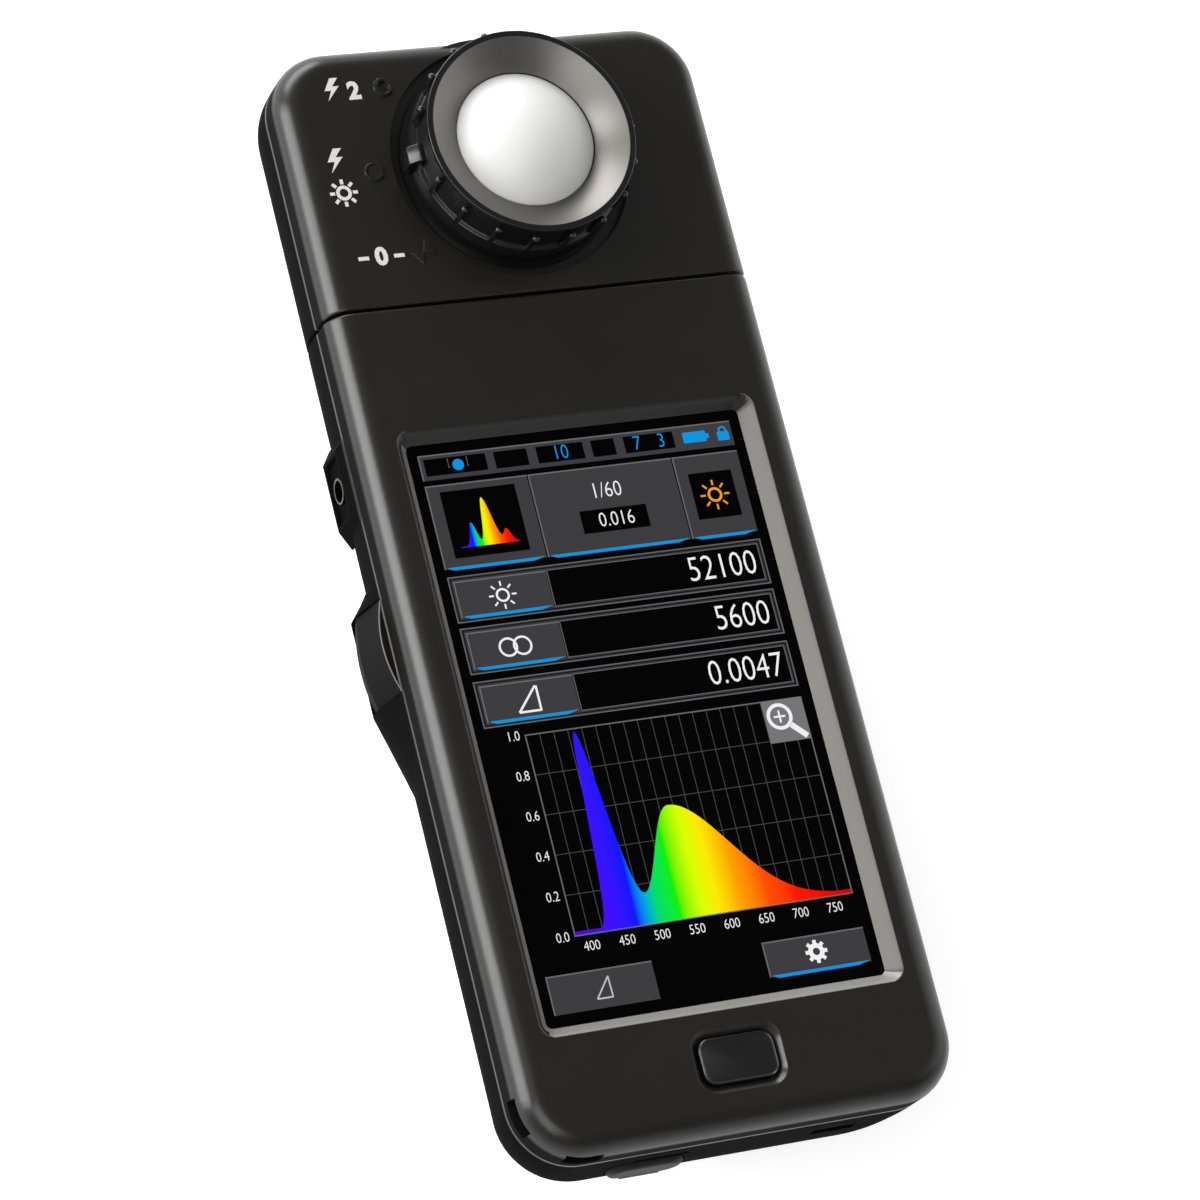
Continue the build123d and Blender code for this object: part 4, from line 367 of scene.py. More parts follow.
def lit(name, hex_colour, strength=1.0, unevenness=0.06):
    """A lit panel area: its colour comes from the backlight, with the light's slight unevenness."""
    material, tree, place = start_material(name)
    clouds = add(
        tree, "ShaderNodeTexNoise", inputs={"Vector": place, "Scale": 1 / (screen_cloud * mm), "Detail": 1.0}
    )
    colour = srgb(hex_colour)
    dimmer = tuple(part * (1 - unevenness) for part in colour[:3])
    glow = add(
        tree,
        "ShaderNodeMixRGB",
        inputs={"Fac": clouds.outputs["Fac"], "Color1": (*dimmer, 1.0), "Color2": colour},
    )
    shader = add(
        tree,
        "ShaderNodeBsdfPrincipled",
        inputs={
            "Base Color": (0.0, 0.0, 0.0, 1.0),
            "Roughness": 0.1,
            "Specular IOR Level": 0.05,
            "Emission Color": glow.outputs["Color"],
            "Emission Strength": strength,
        },
    )
    add(tree, "ShaderNodeOutputMaterial", inputs={"Surface": shader.outputs["BSDF"]})
    return material


class Layer:
    """One colour of the picture: flat slabs that all lie on the same level."""

    def __init__(self, middle, level):
        self.mesh = bmesh.new()
        self.middle = middle
        self.level = level

    def area(self, left, right, low, high, radius=0.0):
        """Adds a rectangle given by its sides, measured from the picture's own middle."""
        centre = (self.middle[0] + (left + right) / 2, self.middle[1] + (low + high) / 2)
        faces = rounded_sheet(self.mesh, centre, (right - left, high - low, radius), self.level)
        thicken(self.mesh, faces, screen_layer)

    def frame(self, left, right, low, high, width):
        """Adds the four bars of a rectangular frame."""
        self.area(left, right, high - width, high)
        self.area(left, right, low, low + width)
        self.area(left, left + width, low + width, high - width)
        self.area(right - width, right, low + width, high - width)

    def outline(self, points):
        """Adds a flat shape with straight sides."""
        places = [(self.middle[0] + x, self.middle[1] + y, self.level) for x, y in points]
        verts = [self.mesh.verts.new(Vector(place) * mm) for place in places]
        thicken(self.mesh, [self.mesh.faces.new(verts)], screen_layer)

    def disc(self, x, y, radius, inner=0.0, sides=24):
        """Adds a round dot, or a ring where it has an inner radius."""
        place = Matrix.Translation(Vector((self.middle[0] + x, self.middle[1] + y, self.level)) * mm)
        edges = []
        before = set(self.mesh.faces)
        for reach in (radius, inner)[: 2 if inner else 1]:
            made = bmesh.ops.create_circle(
                self.mesh, cap_ends=not inner, segments=sides, radius=reach * mm, matrix=place
            )["verts"]
            edges += {edge for vert in made for edge in vert.link_edges}
        if inner:
            bmesh.ops.bridge_loops(self.mesh, edges=edges)
        thicken(self.mesh, [face for face in self.mesh.faces if face not in before], screen_layer)

    def bar(self, start, end, width):
        """Adds a straight bar between two points."""
        start = Vector(start)
        end = Vector(end)
        across = (end - start).orthogonal().normalized() * width / 2
        self.outline([start - across, end - across, end + across, start + across])

    def rays(self, x, y, start, end, width, count=8):
        """Adds short bars that stand round a point."""
        middle = Vector((x, y))
        for step in range(count):
            turn = 2 * math.pi * step / count
            ray = Vector((math.cos(turn), math.sin(turn)))
            self.bar(middle + ray * start, middle + ray * end, width)

    def numbers(self, text, x, y, height, squeeze=0.82, align="CENTER", boldness=-0.01):
        """Adds plain numbers as a mesh made from a text curve."""
        curve = bpy.data.curves.new("numbers", "FONT")
        curve.body = text
        curve.align_x = align
        curve.align_y = "CENTER"
        curve.resolution_u = 3
        curve.extrude = screen_layer / 2
        curve.offset = boldness
        letters = bpy.data.objects.new("numbers", curve)
        data = bpy.data.meshes.new_from_object(letters)
        size = height / 0.73 * mm
        data.transform(Matrix.Diagonal((size * squeeze, size, mm, 1)))
        place = (self.middle[0] + x, self.middle[1] + y, self.level + screen_layer / 2)
        data.transform(Matrix.Translation(Vector(place) * mm))
        self.mesh.from_mesh(data)
        bpy.data.objects.remove(letters)
        bpy.data.curves.remove(curve)
        bpy.data.meshes.remove(data)

    def finish(self, name, material):
        """Makes the layer a piece on the body."""
        return piece(self.mesh, name, [material], "body")


def screen_layer_at(step):
    """Starts a layer of the display, so many steps above the glass."""
    return Layer((screen_x, screen_y), screen_level + step * screen_layer)


tiles = screen_layer_at(1)
tile_edges = screen_layer_at(2)
wells = screen_layer_at(2)
white = screen_layer_at(3)
blue = screen_layer_at(3)
orange = screen_layer_at(3)
grid = screen_layer_at(1)


def tile(left, right, low, high, underline=False):
    """Adds a grey tile with light edges, and a blue line below it where it can be pressed."""
    edge = 0.22
    tiles.area(left, right, low, high)
    tile_edges.area(left, right, high - edge, high)
    tile_edges.area(left, left + edge, low, high - edge)
    if underline:
        blue.outline(
            [
                (left + 0.5, low + 0.1),
                (left + 1.6, low - 0.28),
                (right - 2.2, low - 0.28),
                (right - 0.2, low + 0.22),
                (left + 0.7, low + 0.22),
            ]
        )


# Status strip along the top: a level dot, two numbers, a battery sign and a padlock.
strip_low = 41.4
strip_high = 45.6
tile(-screen_half_width, screen_half_width, strip_low, strip_high)
for left, right in ((-26.0, -15.6), (-14.2, -8.6), (-7.0, 1.0), (2.4, 6.4), (8.0, 16.6)):
    wells.area(left, right, strip_low + 0.7, strip_high - 0.7)
blue.disc(-20.4, 43.5, 0.95)
for x in (-22.0, -18.8):
    tile_edges.area(x - 0.07, x + 0.07, 43.1, 44.7)
blue.numbers("10", -3.0, 43.5, 2.5)
blue.numbers("3", 14.4, 43.5, 2.5)
blue.numbers("7", 10.2, 43.5, 2.5)
blue.area(18.2, 22.2, 42.6, 44.4, 0.15)
blue.area(22.2, 22.7, 43.1, 43.9)
blue.area(24.2, 26.2, 42.4, 43.9, 0.1)
blue.disc(25.2, 44.1, 0.72, 0.42)

# Row of three tiles: a spectrum sign, a time in numbers and a sun sign.
row_low = 26.6
row_high = 40.5
tile(-26.8, -9.6, row_low, row_high, True)
tile(-9.4, 15.2, row_low, row_high, True)
tile(15.4, 26.8, row_low, row_high, True)
wells.area(-24.6, -12.0, 28.2, 39.3)
wells.area(17.4, 24.9, 29.6, 37.4)
wells.area(-2.4, 9.0, 29.6, 33.4)
white.numbers("1/60", 3.0, 36.4, 2.7)
white.numbers("0.016", 3.6, 31.5, 2.5)
orange.disc(21.15, 33.5, 1.25, 0.85)
orange.rays(21.15, 33.5, 1.6, 2.5, 0.3)

# Three framed rows, each with a sign on a tile at the left and a value at the right.
value_rows = ((17.7, "52100"), (9.2, "5600"), (0.4, "0.0047"))
value_row_height = 7.6
frame_grey = screen_layer_at(1)
for low, value in value_rows:
    high = low + value_row_height
    frame_grey.frame(-26.8, 26.8, low, high, 0.8)
    tile_edges.frame(-26.8, 26.8, low, high, 0.16)
    wells.frame(-26.48, 26.48, low + 0.32, high - 0.32, 0.16)
    tile_edges.frame(-10.28, 26.06, low + 0.74, high - 0.74, 0.12)
    tile(-26.0, -10.4, low + 0.8, high - 0.8, True)
    white.numbers(value, 25.2, low + 3.7, 4.3, align="RIGHT")
white.disc(-18.4, 21.4, 1.15, 0.8)
white.rays(-18.4, 21.4, 1.5, 2.3, 0.28)
white.disc(-19.6, 12.9, 1.6, 1.25)
white.disc(-17.2, 12.9, 1.6, 1.25)
white.bar((-20.4, 2.2), (-16.6, 2.2), 0.35)
white.bar((-20.4, 2.2), (-16.9, 6.2), 0.35)
white.bar((-16.75, 2.2), (-16.75, 6.2), 0.35)

# The chart: a grid with numbers on both axes and a measured curve filled with its own colours.
chart_left = -20.4
chart_right = 26.6
chart_low = -34.0
chart_high = -1.5
chart_columns = 20
chart_rows = 5
chart_line = 0.1
chart_number = 1.65
shortest_wave = 380
longest_wave = 780
for step in range(1, chart_columns):
    x = chart_left + (chart_right - chart_left) * step / chart_columns
    grid.area(x - chart_line / 2, x + chart_line / 2, chart_low, chart_high)
for step in range(1, chart_rows):
    y = chart_low + (chart_high - chart_low) * step / chart_rows
    grid.area(chart_left, chart_right, y - chart_line / 2, y + chart_line / 2)
tile_edges.frame(
    chart_left - chart_line,
    chart_right + chart_line,
    chart_low - chart_line,
    chart_high + chart_line,
    2 * chart_line,
)
for step in range(chart_rows + 1):
    y = chart_low + (chart_high - chart_low) * step / chart_rows
    white.numbers(f"{step / chart_rows:.1f}", chart_left - 0.9, y, chart_number, align="RIGHT")
for wave in range(400, longest_wave, 50):
    x = chart_left + (chart_right - chart_left) * (wave - shortest_wave) / (longest_wave - shortest_wave)
    white.numbers(str(wave), x, chart_low - 1.9, chart_number)


def bell(wave, middle, below, above):
    """A bell curve with its own width on each side of its middle."""
    width = below if wave < middle else above
    return math.exp(-(((wave - middle) / width) ** 2) / 2)


curve_columns = 160
curve_mesh = bmesh.new()
curve_level = screen_level + 2.5 * screen_layer
made = bmesh.ops.create_grid(curve_mesh, x_segments=curve_columns, y_segments=1, size=0.5)["verts"]
for vert in made:
    share = vert.co.x + 0.5
    wave = shortest_wave + (longest_wave - shortest_wave) * share
    blue_peak = 0.97 * bell(wave, 447, 9, 17)
    broad_hump = 0.55 * bell(wave, 552, 34, 72)
    reach = max(blue_peak + broad_hump + 0.012, 0.02) if vert.co.y > 0 else 0.0
    vert.co.x = (screen_x + chart_left + (chart_right - chart_left) * share) * mm
    vert.co.y = (screen_y + chart_low + (chart_high - chart_low) * min(reach, 1.0)) * mm
    vert.co.z = curve_level * mm
thicken(curve_mesh, curve_mesh.faces[:], screen_layer / 2)

wave_colours = (
    (0.0, "5a00c8"),
    (0.15, "3a10ff"),
    (0.225, "0a18ff"),
    (0.265, "00a0e0"),
    (0.31, "00e060"),
    (0.38, "10f000"),
    (0.46, "d8ff00"),
    (0.52, "ffe800"),
    (0.6, "ffa000"),
    (0.7, "ff5000"),
    (0.8, "ff1800"),
    (1.0, "d00000"),
)
spectrum_material, tree, place = start_material("lit_panel_spectrum_colours")
axes = add(tree, "ShaderNodeSeparateXYZ", inputs={"Vector": place})
along = add(
    tree,
    "ShaderNodeMapRange",
    inputs={
        "Value": axes.outputs["X"],
        "From Min": (screen_x + chart_left) * mm,
        "From Max": (screen_x + chart_right) * mm,
    },
)
ramp = add(tree, "ShaderNodeValToRGB", inputs={"Fac": along.outputs["Result"]})
for share, colour in wave_colours[1:-1]:
    ramp.color_ramp.elements.new(share)
for element, (share, colour) in zip(ramp.color_ramp.elements, wave_colours):
    element.position = share
    element.color = srgb(colour)
spectrum_shader = add(
    tree,
    "ShaderNodeBsdfPrincipled",
    inputs={
        "Base Color": (0.0, 0.0, 0.0, 1.0),
        "Roughness": 0.1,
        "Specular IOR Level": 0.05,
        "Emission Color": ramp.outputs["Color"],
        "Emission Strength": 1.0,
    },
)
add(tree, "ShaderNodeOutputMaterial", inputs={"Surface": spectrum_shader.outputs["BSDF"]})
piece(curve_mesh, "screen_curve", [spectrum_material], "body")

# Small coloured peaks on the first tile, in the same colours.
peaks_left = -23.2
peaks_width = 9.8
peaks_low = 29.8
peaks_height = 8.6
peaks_mesh = bmesh.new()
made = bmesh.ops.create_grid(peaks_mesh, x_segments=60, y_segments=1, size=0.5)["verts"]
for vert in made:
    share = vert.co.x + 0.5
    reach = 0.9 * bell(share, 0.52, 0.06, 0.1) + 0.45 * bell(share, 0.25, 0.05, 0.06)
    reach += 0.25 * bell(share, 0.82, 0.05, 0.06) + 0.02
    reach = min(reach, 1.0) if vert.co.y > 0 else 0.0
    vert.co.x = (screen_x + peaks_left + peaks_width * share) * mm
    vert.co.y = (screen_y + peaks_low + peaks_height * reach) * mm
    vert.co.z = (screen_level + 3 * screen_layer) * mm
thicken(peaks_mesh, peaks_mesh.faces[:], screen_layer)
peaks_material = spectrum_material.copy()
peaks_material.name = "lit_panel_peak_colours"
for made in peaks_material.node_tree.nodes:
    if made.bl_idname == "ShaderNodeMapRange":
        made.inputs["From Min"].default_value = (screen_x + peaks_left) * mm
        made.inputs["From Max"].default_value = (screen_x + peaks_left + peaks_width) * mm
piece(peaks_mesh, "screen_peaks", [peaks_material], "body")

# A magnifier tile over the chart's corner and two buttons below it.
magnifier_tile = screen_layer_at(3)
magnifier_tile.area(19.6, 26.6, -8.4, -1.5)
magnifier_tile.finish("screen_magnifier_tile", lit("lit_panel_pale_grey", "77767a"))
sign = screen_layer_at(4)
sign.disc(22.2, -4.2, 2.2, 1.62)
sign.area(21.2, 23.2, -4.36, -4.04)
sign.area(22.04, 22.36, -5.2, -3.2)
sign.bar((23.8, -5.75), (26.1, -7.9), 0.95)
sign.finish("screen_magnifier", lit("lit_panel_sign_white", "f2f2f4"))
tile(-26.8, -9.2, -45.7, -39.6)
tile(9.4, 26.8, -45.2, -39.6, True)
pale = screen_layer_at(3)
pale_corners = ((-19.3, -44.2), (-16.7, -44.2), (-16.8, -40.9))
for start, end in zip(pale_corners, pale_corners[1:] + pale_corners[:1]):
    pale.bar(start, end, 0.24)
pale.finish("screen_sign", lit("lit_panel_sign_grey", "c4c4c6"))
white.disc(18.1, -42.3, 1.35, 0.6)
white.rays(18.1, -42.3, 1.2, 1.85, 0.6)

tiles.finish("screen_tiles", lit("lit_panel_dark_grey", "3e3e40"))
frame_grey.finish("screen_frames", lit("lit_panel_frame_grey", "39393b"))
tile_edges.finish("screen_tile_edges", lit("lit_panel_edge_grey", "6c6a6c"))
wells.finish("screen_wells", lit("lit_panel_black", "020203"))
grid.finish("screen_grid", lit("lit_panel_grid_grey", "4c4c4e"))
white.finish("screen_numbers", lit("lit_panel_white", "f4f4f4"))
blue.finish("screen_blue", lit("lit_panel_blue", "0d97e2"))
orange.finish("screen_sun", lit("lit_panel_orange", "f6a21c"))


# The menu button: a black ABS key from a polished mould, which stands in its recess below the
# display. A fine bead runs round its top and catches the light.
menu_y = -80.6
menu_size = (12.66, 7.36, 2.0)
menu_steps = ((0.0, 25.6), (0.0, 26.5), (0.08, 26.72), (0.24, 26.84), (0.4, 26.72), (0.52, 26.68))
menu_abs = moulded("moulded_abs_polished_black", "0e0e0e", "111111", 0.3, 0.3, 0.5, 0.01, 0.0)
dress(menu_abs, "menu_button")
menu_mesh = bmesh.new()
menu_rims = [
    (menu_size[0] - 2 * inset, menu_size[1] - 2 * inset, menu_size[2] - inset, level)
    for inset, level in menu_steps
]
joined_rims(menu_mesh, (0.0, menu_y), menu_rims, closed=True)
piece(menu_mesh, "menu_key_cap", [menu_abs], "menu_button")


# The side keys and the battery lock: black ABS keys with the same coarse skin as the rear covers.
# A fine bead runs round the narrow front end of the two large keys; its light grey is a painted
# highlight for the light lines along the key edges.
key_abs = moulded("moulded_abs_key_black", "0b0b0b", "0f0f0f", 0.3, 0.75, 0.08, 0.08, 0.3)
dress(key_abs, "memory_button", "measure_button", "power_button", "battery_lock")
# Painted highlight: the bead's light grey stands for the thin light lines along the keys' front edges.
key_bead_painted_highlight = moulded("grey_painted_highlight_on_key_bead", "6a6764", "706d6a", 0.3, 0.3, 0.5, 0.01, 0.0)
key_middle = -6.35
key_half_length = 7.5
key_side = 36.55
key_bulge = 1.35
key_top = 19.65
key_bead = 0.13
key_steps = 24
for side, key_node in ((-1, "memory_button"), (1, "measure_button")):
    path = []
    for step in range(key_steps + 1):
        share = 2 * step / key_steps - 1
        reach = key_side + key_bulge * (1 - share * share)
        path.append(Vector((side * reach, key_middle + key_half_length * share, key_top)))
    for step in range(1, key_steps):
        share = 1 - 2 * step / key_steps
        path.append(Vector((side * key_side, key_middle + key_half_length * share, key_top)))
    bead_mesh = bmesh.new()
    rings = []
    for before, point, after in zip(path[-1:] + path[:-1], path, path[1:] + path[:1]):
        across = (after - before).normalized().cross(Vector((0, 0, 1)))
        rings.append([])
        for corner in range(6):
            turn = math.pi * corner / 3
            place = point + (across * math.cos(turn) + Vector((0, 0, math.sin(turn)))) * key_bead
            rings[-1].append(bead_mesh.verts.new(place * mm))
    for one, other in zip(rings, rings[1:] + rings[:1]):
        for low, high, far_high, far_low in zip(one, one[1:] + one[:1], other[1:] + other[:1], other):
            bead_mesh.faces.new((low, high, far_high, far_low))
    bmesh.ops.recalc_face_normals(bead_mesh, faces=bead_mesh.faces)
    piece(bead_mesh, key_node + "_bead", [key_bead_painted_highlight], key_node)


# The receptor: a turning ring with ribs, a cone that shades the dome, and the dome. The ring is
# semi-gloss black ABS. The cone is sprayed satin silver inside, which shows the lamps as soft
# patches. The dome is opal acrylic, a soft white that light sinks into.
ring_abs = moulded("moulded_abs_semi_gloss_black", "0f0f0f", "131313", 0.3, 0.24, 0.5, 0.02, 0.0)
dress(ring_abs, "mode_ring", "mode_disc")
receptor_y = 69.37
ring_bore = 15.75
ring_foot = (18.3, 25.4)
ring_shoulder = (17.7, 31.25)
ring_wall = 17.0
ring_top = 36.95
ring_step = 0.12
rib_pitches = 18
rib_width = 0.8
rib_reach = 17.95
rib_ball = 0.62
rib_ball_height = 36.0
rib_root = 0.1
ring_edge = 0.18
rib_edge = 0.2
pointer_edge = 0.16
cone_edge = 0.16
cone_paint_reach = 16.5
pointer_width = 3.0
pointer_side = ((16.8, 28.6), (19.3, 28.6), (19.3, 32.3), (17.65, 33.6), (16.8, 33.6))
cone_profile = (
    (11.55, 34.75),
    (16.45, 38.2),
    (17.4, 38.2),
    (17.4, 37.15),
    (15.6, 37.15),
    (15.6, 34.0),
    (11.55, 34.0),
)


def turned(profile, centre_y, steps=96, closed=True, weld=0.0001):
    """Spins a profile of (radius, height) about an upright axis."""
    mesh = bmesh.new()
    verts = [mesh.verts.new((radius * mm, 0, height * mm)) for radius, height in profile]
    last = verts[:1] if closed else []
    edges = [mesh.edges.new(pair) for pair in zip(verts, verts[1:] + last)]
    bmesh.ops.spin(
        mesh,
        geom=verts + edges,
        cent=(0, 0, 0),
        axis=(0, 0, 1),
        dvec=(0, 0, 0),
        angle=2 * math.pi,
        steps=steps,
        use_merge=True,
    )
    bmesh.ops.remove_doubles(mesh, verts=mesh.verts, dist=weld * mm)
    bmesh.ops.translate(mesh, vec=(0, centre_y * mm, 0), verts=mesh.verts)
    bmesh.ops.recalc_face_normals(mesh, faces=mesh.faces)
    return mesh


def soften(mesh, edges, radius, segments=2):
    """Rounds sharp edges as a mould does."""
    bmesh.ops.bevel(
        mesh,
        geom=edges,
        offset=radius * mm,
        offset_type="OFFSET",
        segments=segments,
        profile=0.5,
        affect="EDGES",
        material=-1,
        clamp_overlap=True,
    )


def merge(mesh, part):
    """Adds a finished part to a mesh and frees it."""
    data = bpy.data.meshes.new("part")
    part.to_mesh(data)
    part.free()
    mesh.from_mesh(data)
    bpy.data.meshes.remove(data)


def sharp_edges(mesh, angle=30):
    """Finds the edges where two faces meet at more than an angle."""
    return [edge for edge in mesh.edges if edge.calc_face_angle(0) > math.radians(angle)]


ring_mesh = turned(
    (
        (ring_bore, ring_foot[1]),
        ring_foot,
        ring_shoulder,
        (ring_wall, ring_shoulder[1] + ring_step),
        (ring_wall, ring_top),
        (ring_bore, ring_top),
    ),
    0.0,
    144,
)
soften(ring_mesh, sharp_edges(ring_mesh), ring_edge)
for step in range(1, rib_pitches):
    turn = Matrix.Rotation(math.pi + 2 * math.pi * step / rib_pitches, 4, "Z")
    rib_middle = ((ring_wall - rib_root + rib_reach) / 2, 0, (ring_shoulder[1] + rib_ball_height) / 2)
    rib_size = (rib_reach - ring_wall + rib_root, rib_width, rib_ball_height - ring_shoulder[1])
    place = Matrix.Translation(Vector(rib_middle) * mm) @ Matrix.Diagonal((*(Vector(rib_size) * mm), 1))
    verts = bmesh.ops.create_cube(ring_mesh, size=1.0, matrix=turn @ place)["verts"]
    soften(ring_mesh, list({edge for vert in verts for edge in vert.link_edges}), rib_edge)
    place = Matrix.Translation(Vector((rib_reach - rib_root, 0, rib_ball_height)) * mm)
    bmesh.ops.create_uvsphere(
        ring_mesh, u_segments=16, v_segments=10, radius=rib_ball * mm, matrix=turn @ place
    )
pointer_mesh = bmesh.new()
verts = [
    pointer_mesh.verts.new(Vector((-reach, -pointer_width / 2, height)) * mm)
    for reach, height in pointer_side
]
grown = bmesh.ops.extrude_face_region(pointer_mesh, geom=[pointer_mesh.faces.new(verts)])["geom"]
verts = [part for part in grown if isinstance(part, bmesh.types.BMVert)]
bmesh.ops.translate(pointer_mesh, vec=(0, pointer_width * mm, 0), verts=verts)
soften(pointer_mesh, pointer_mesh.edges[:], pointer_edge)
bmesh.ops.recalc_face_normals(pointer_mesh, faces=pointer_mesh.faces)
merge(ring_mesh, pointer_mesh)
bmesh.ops.translate(ring_mesh, vec=(0, receptor_y * mm, 0), verts=ring_mesh.verts)
piece(ring_mesh, "ribbed_mode_ring", [ring_abs], "mode_ring", ["mode_ring"])

index_reach = 23.35
index_angle = 38.0
index_profile = ((1.0, 27.1), (1.08, 27.29), (1.32, 27.36), (1.55, 27.29), (1.66, 27.0), (1.0, 27.0))
index_mesh = bmesh.new()
for angle in (180 - index_angle, 180):
    turn = math.radians(angle)
    bead = turned(index_profile, 0.0, 32)
    place = (index_reach * math.cos(turn) * mm, (receptor_y + index_reach * math.sin(turn)) * mm, 0)
    bmesh.ops.translate(bead, vec=place, verts=bead.verts)
    merge(index_mesh, bead)
piece(index_mesh, "index_beads", [ring_abs], "head")

cone_mesh = turned(cone_profile, receptor_y)
soften(cone_mesh, sharp_edges(cone_mesh), cone_edge, 3)
for face in cone_mesh.faces:
    middle = face.calc_center_median()
    reach = Vector((middle.x, middle.y - receptor_y * mm)).length
    painted = 0.5 < face.normal.z < 0.95 and reach < cone_paint_reach * mm
    face.material_index = 0 if painted else 1

cone_paint, tree, place = start_material("sprayed_satin_silver_grey")
flow = add(tree, "ShaderNodeTexNoise", inputs={"Vector": place, "Scale": 1 / (0.4 * mm), "Detail": 2.0})
cone_shade = add(
    tree,
    "ShaderNodeMixRGB",
    inputs={"Fac": flow.outputs["Fac"], "Color1": srgb("72706d"), "Color2": srgb("767370")},
)
cone_shine = add(
    tree, "ShaderNodeMapRange", inputs={"Value": flow.outputs["Fac"], "To Min": 0.4, "To Max": 0.43}
)
cone_bump = add(
    tree,
    "ShaderNodeBump",
    inputs={"Strength": 0.02, "Distance": 0.02 * mm, "Height": flow.outputs["Fac"]},
)
cone_shader = add(
    tree,
    "ShaderNodeBsdfPrincipled",
    inputs={
        "Base Color": cone_shade.outputs["Color"],
        "Metallic": 1.0,
        "Roughness": cone_shine.outputs["Result"],
        "Normal": cone_bump.outputs["Normal"],
    },
)
add(tree, "ShaderNodeOutputMaterial", inputs={"Surface": cone_shader.outputs["BSDF"]})
piece(cone_mesh, "receptor_shade", [cone_paint, ring_abs], "head", ["receptor_cone"])

dome_opal, tree, place = start_material("opal_acrylic")
haze = add(tree, "ShaderNodeTexNoise", inputs={"Vector": place, "Scale": 1 / (3 * mm), "Detail": 2.0})
dome_shade = add(
    tree,
    "ShaderNodeMixRGB",
    inputs={"Fac": haze.outputs["Fac"], "Color1": srgb("dcdcda"), "Color2": srgb("e1e1df")},
)
dome_shine = add(
    tree, "ShaderNodeMapRange", inputs={"Value": haze.outputs["Fac"], "To Min": 0.38, "To Max": 0.5}
)
dome_shader = add(
    tree,
    "ShaderNodeBsdfPrincipled",
    inputs={
        "Base Color": dome_shade.outputs["Color"],
        "Roughness": dome_shine.outputs["Result"],
        "Subsurface Weight": 0.35,
        "Subsurface Radius": (1.0, 1.0, 1.0),
        "Subsurface Scale": 3 * mm,
    },
)
add(tree, "ShaderNodeOutputMaterial", inputs={"Surface": dome_shader.outputs["BSDF"]})
dress(dome_opal, "diffuser_dome")


# Printed marks beside the ring: pale grey ink, pad printed on the head cover. A flash sign and a
# number at the upper place, a flash sign and a sun at the middle one, a number at the lower one.
ink, tree, place = start_material("pad_printed_pale_ink")
speckle = add(tree, "ShaderNodeTexNoise", inputs={"Vector": place, "Scale": 1 / (0.2 * mm), "Detail": 2.0})
ink_shade = add(
    tree,
    "ShaderNodeMixRGB",
    inputs={"Fac": speckle.outputs["Fac"], "Color1": srgb("c9c8c6"), "Color2": srgb("dddcda")},
)
ink_shader = add(
    tree, "ShaderNodeBsdfPrincipled", inputs={"Base Color": ink_shade.outputs["Color"], "Roughness": 0.6}
)
add(tree, "ShaderNodeOutputMaterial", inputs={"Surface": ink_shader.outputs["BSDF"]})

flash_shares = (
    (0.02, 0.5),
    (-0.3, -0.04),
    (-0.02, -0.04),
    (-0.24, -0.5),
    (0.34, 0.14),
    (0.06, 0.14),
    (0.36, 0.5),
)
mark_boldness = 0.045
marks = Layer((0.0, 0.0), window_top)
for x, y, height in ((-27.1, 84.1, 4.0), (-29.4, 71.9, 4.2)):
    marks.outline([(x + across * height, y + up * height) for across, up in flash_shares])
marks.numbers("2", -23.4, 83.5, 3.0, 1.0, boldness=mark_boldness)
marks.disc(-29.2, 66.3, 1.3, 0.72)
marks.rays(-29.2, 66.3, 1.5, 2.35, 0.55)
marks.numbers("0", -25.6, 54.9, 3.0, 1.0, boldness=mark_boldness)
for x in (-28.6, -22.6):
    marks.area(x - 0.9, x + 0.9, 54.58, 55.22)
piece(marks.mesh, "head_marks", [ink], "head")


# Rubber and metal pieces that show from outside: the flap over the data socket, the tripod bush,
# the screws, the flash terminal and the bare field for a rating label on the back.
rubber = moulded("moulded_silicone_black", "151515", "1a1a1a", 0.4, 0.62, 0.3, 0.2)
dress(rubber, "usb_cover", "dome_seal", "window_gasket", "neck_lead")


metal_edge = 0.08
tool_mark_depth = 0.01


def metal(name, dark, light, roughness, streak, squash):
    """A bare or plated metal: fine tool marks, stretched by the mapping, in shade, gloss and bump."""
    material, tree, place = start_material(name)
    stretched = add(tree, "ShaderNodeMapping", inputs={"Vector": place, "Scale": squash})
    marks = add(
        tree,
        "ShaderNodeTexNoise",
        inputs={"Vector": stretched.outputs["Vector"], "Scale": 1 / (streak * mm)},
    )
    shade = add(
        tree,
        "ShaderNodeMixRGB",
        inputs={"Fac": marks.outputs["Fac"], "Color1": srgb(dark), "Color2": srgb(light)},
    )
    shine = add(
        tree,
        "ShaderNodeMapRange",
        inputs={
            "Value": marks.outputs["Fac"],
            "To Min": roughness - gloss_spread,
            "To Max": roughness + gloss_spread,
        },
    )
    rounding = add(tree, "ShaderNodeBevel", {"samples": edge_samples}, {"Radius": metal_edge * mm})
    bump = add(
        tree,
        "ShaderNodeBump",
        inputs={
            "Strength": 0.1,
            "Distance": tool_mark_depth * mm,
            "Height": marks.outputs["Fac"],
            "Normal": rounding.outputs["Normal"],
        },
    )
    shader = add(
        tree,
        "ShaderNodeBsdfPrincipled",
        inputs={
            "Base Color": shade.outputs["Color"],
            "Metallic": 1.0,
            "Roughness": shine.outputs["Result"],
            "Normal": bump.outputs["Normal"],
        },
    )
    add(tree, "ShaderNodeOutputMaterial", inputs={"Surface": shader.outputs["BSDF"]})
    return material


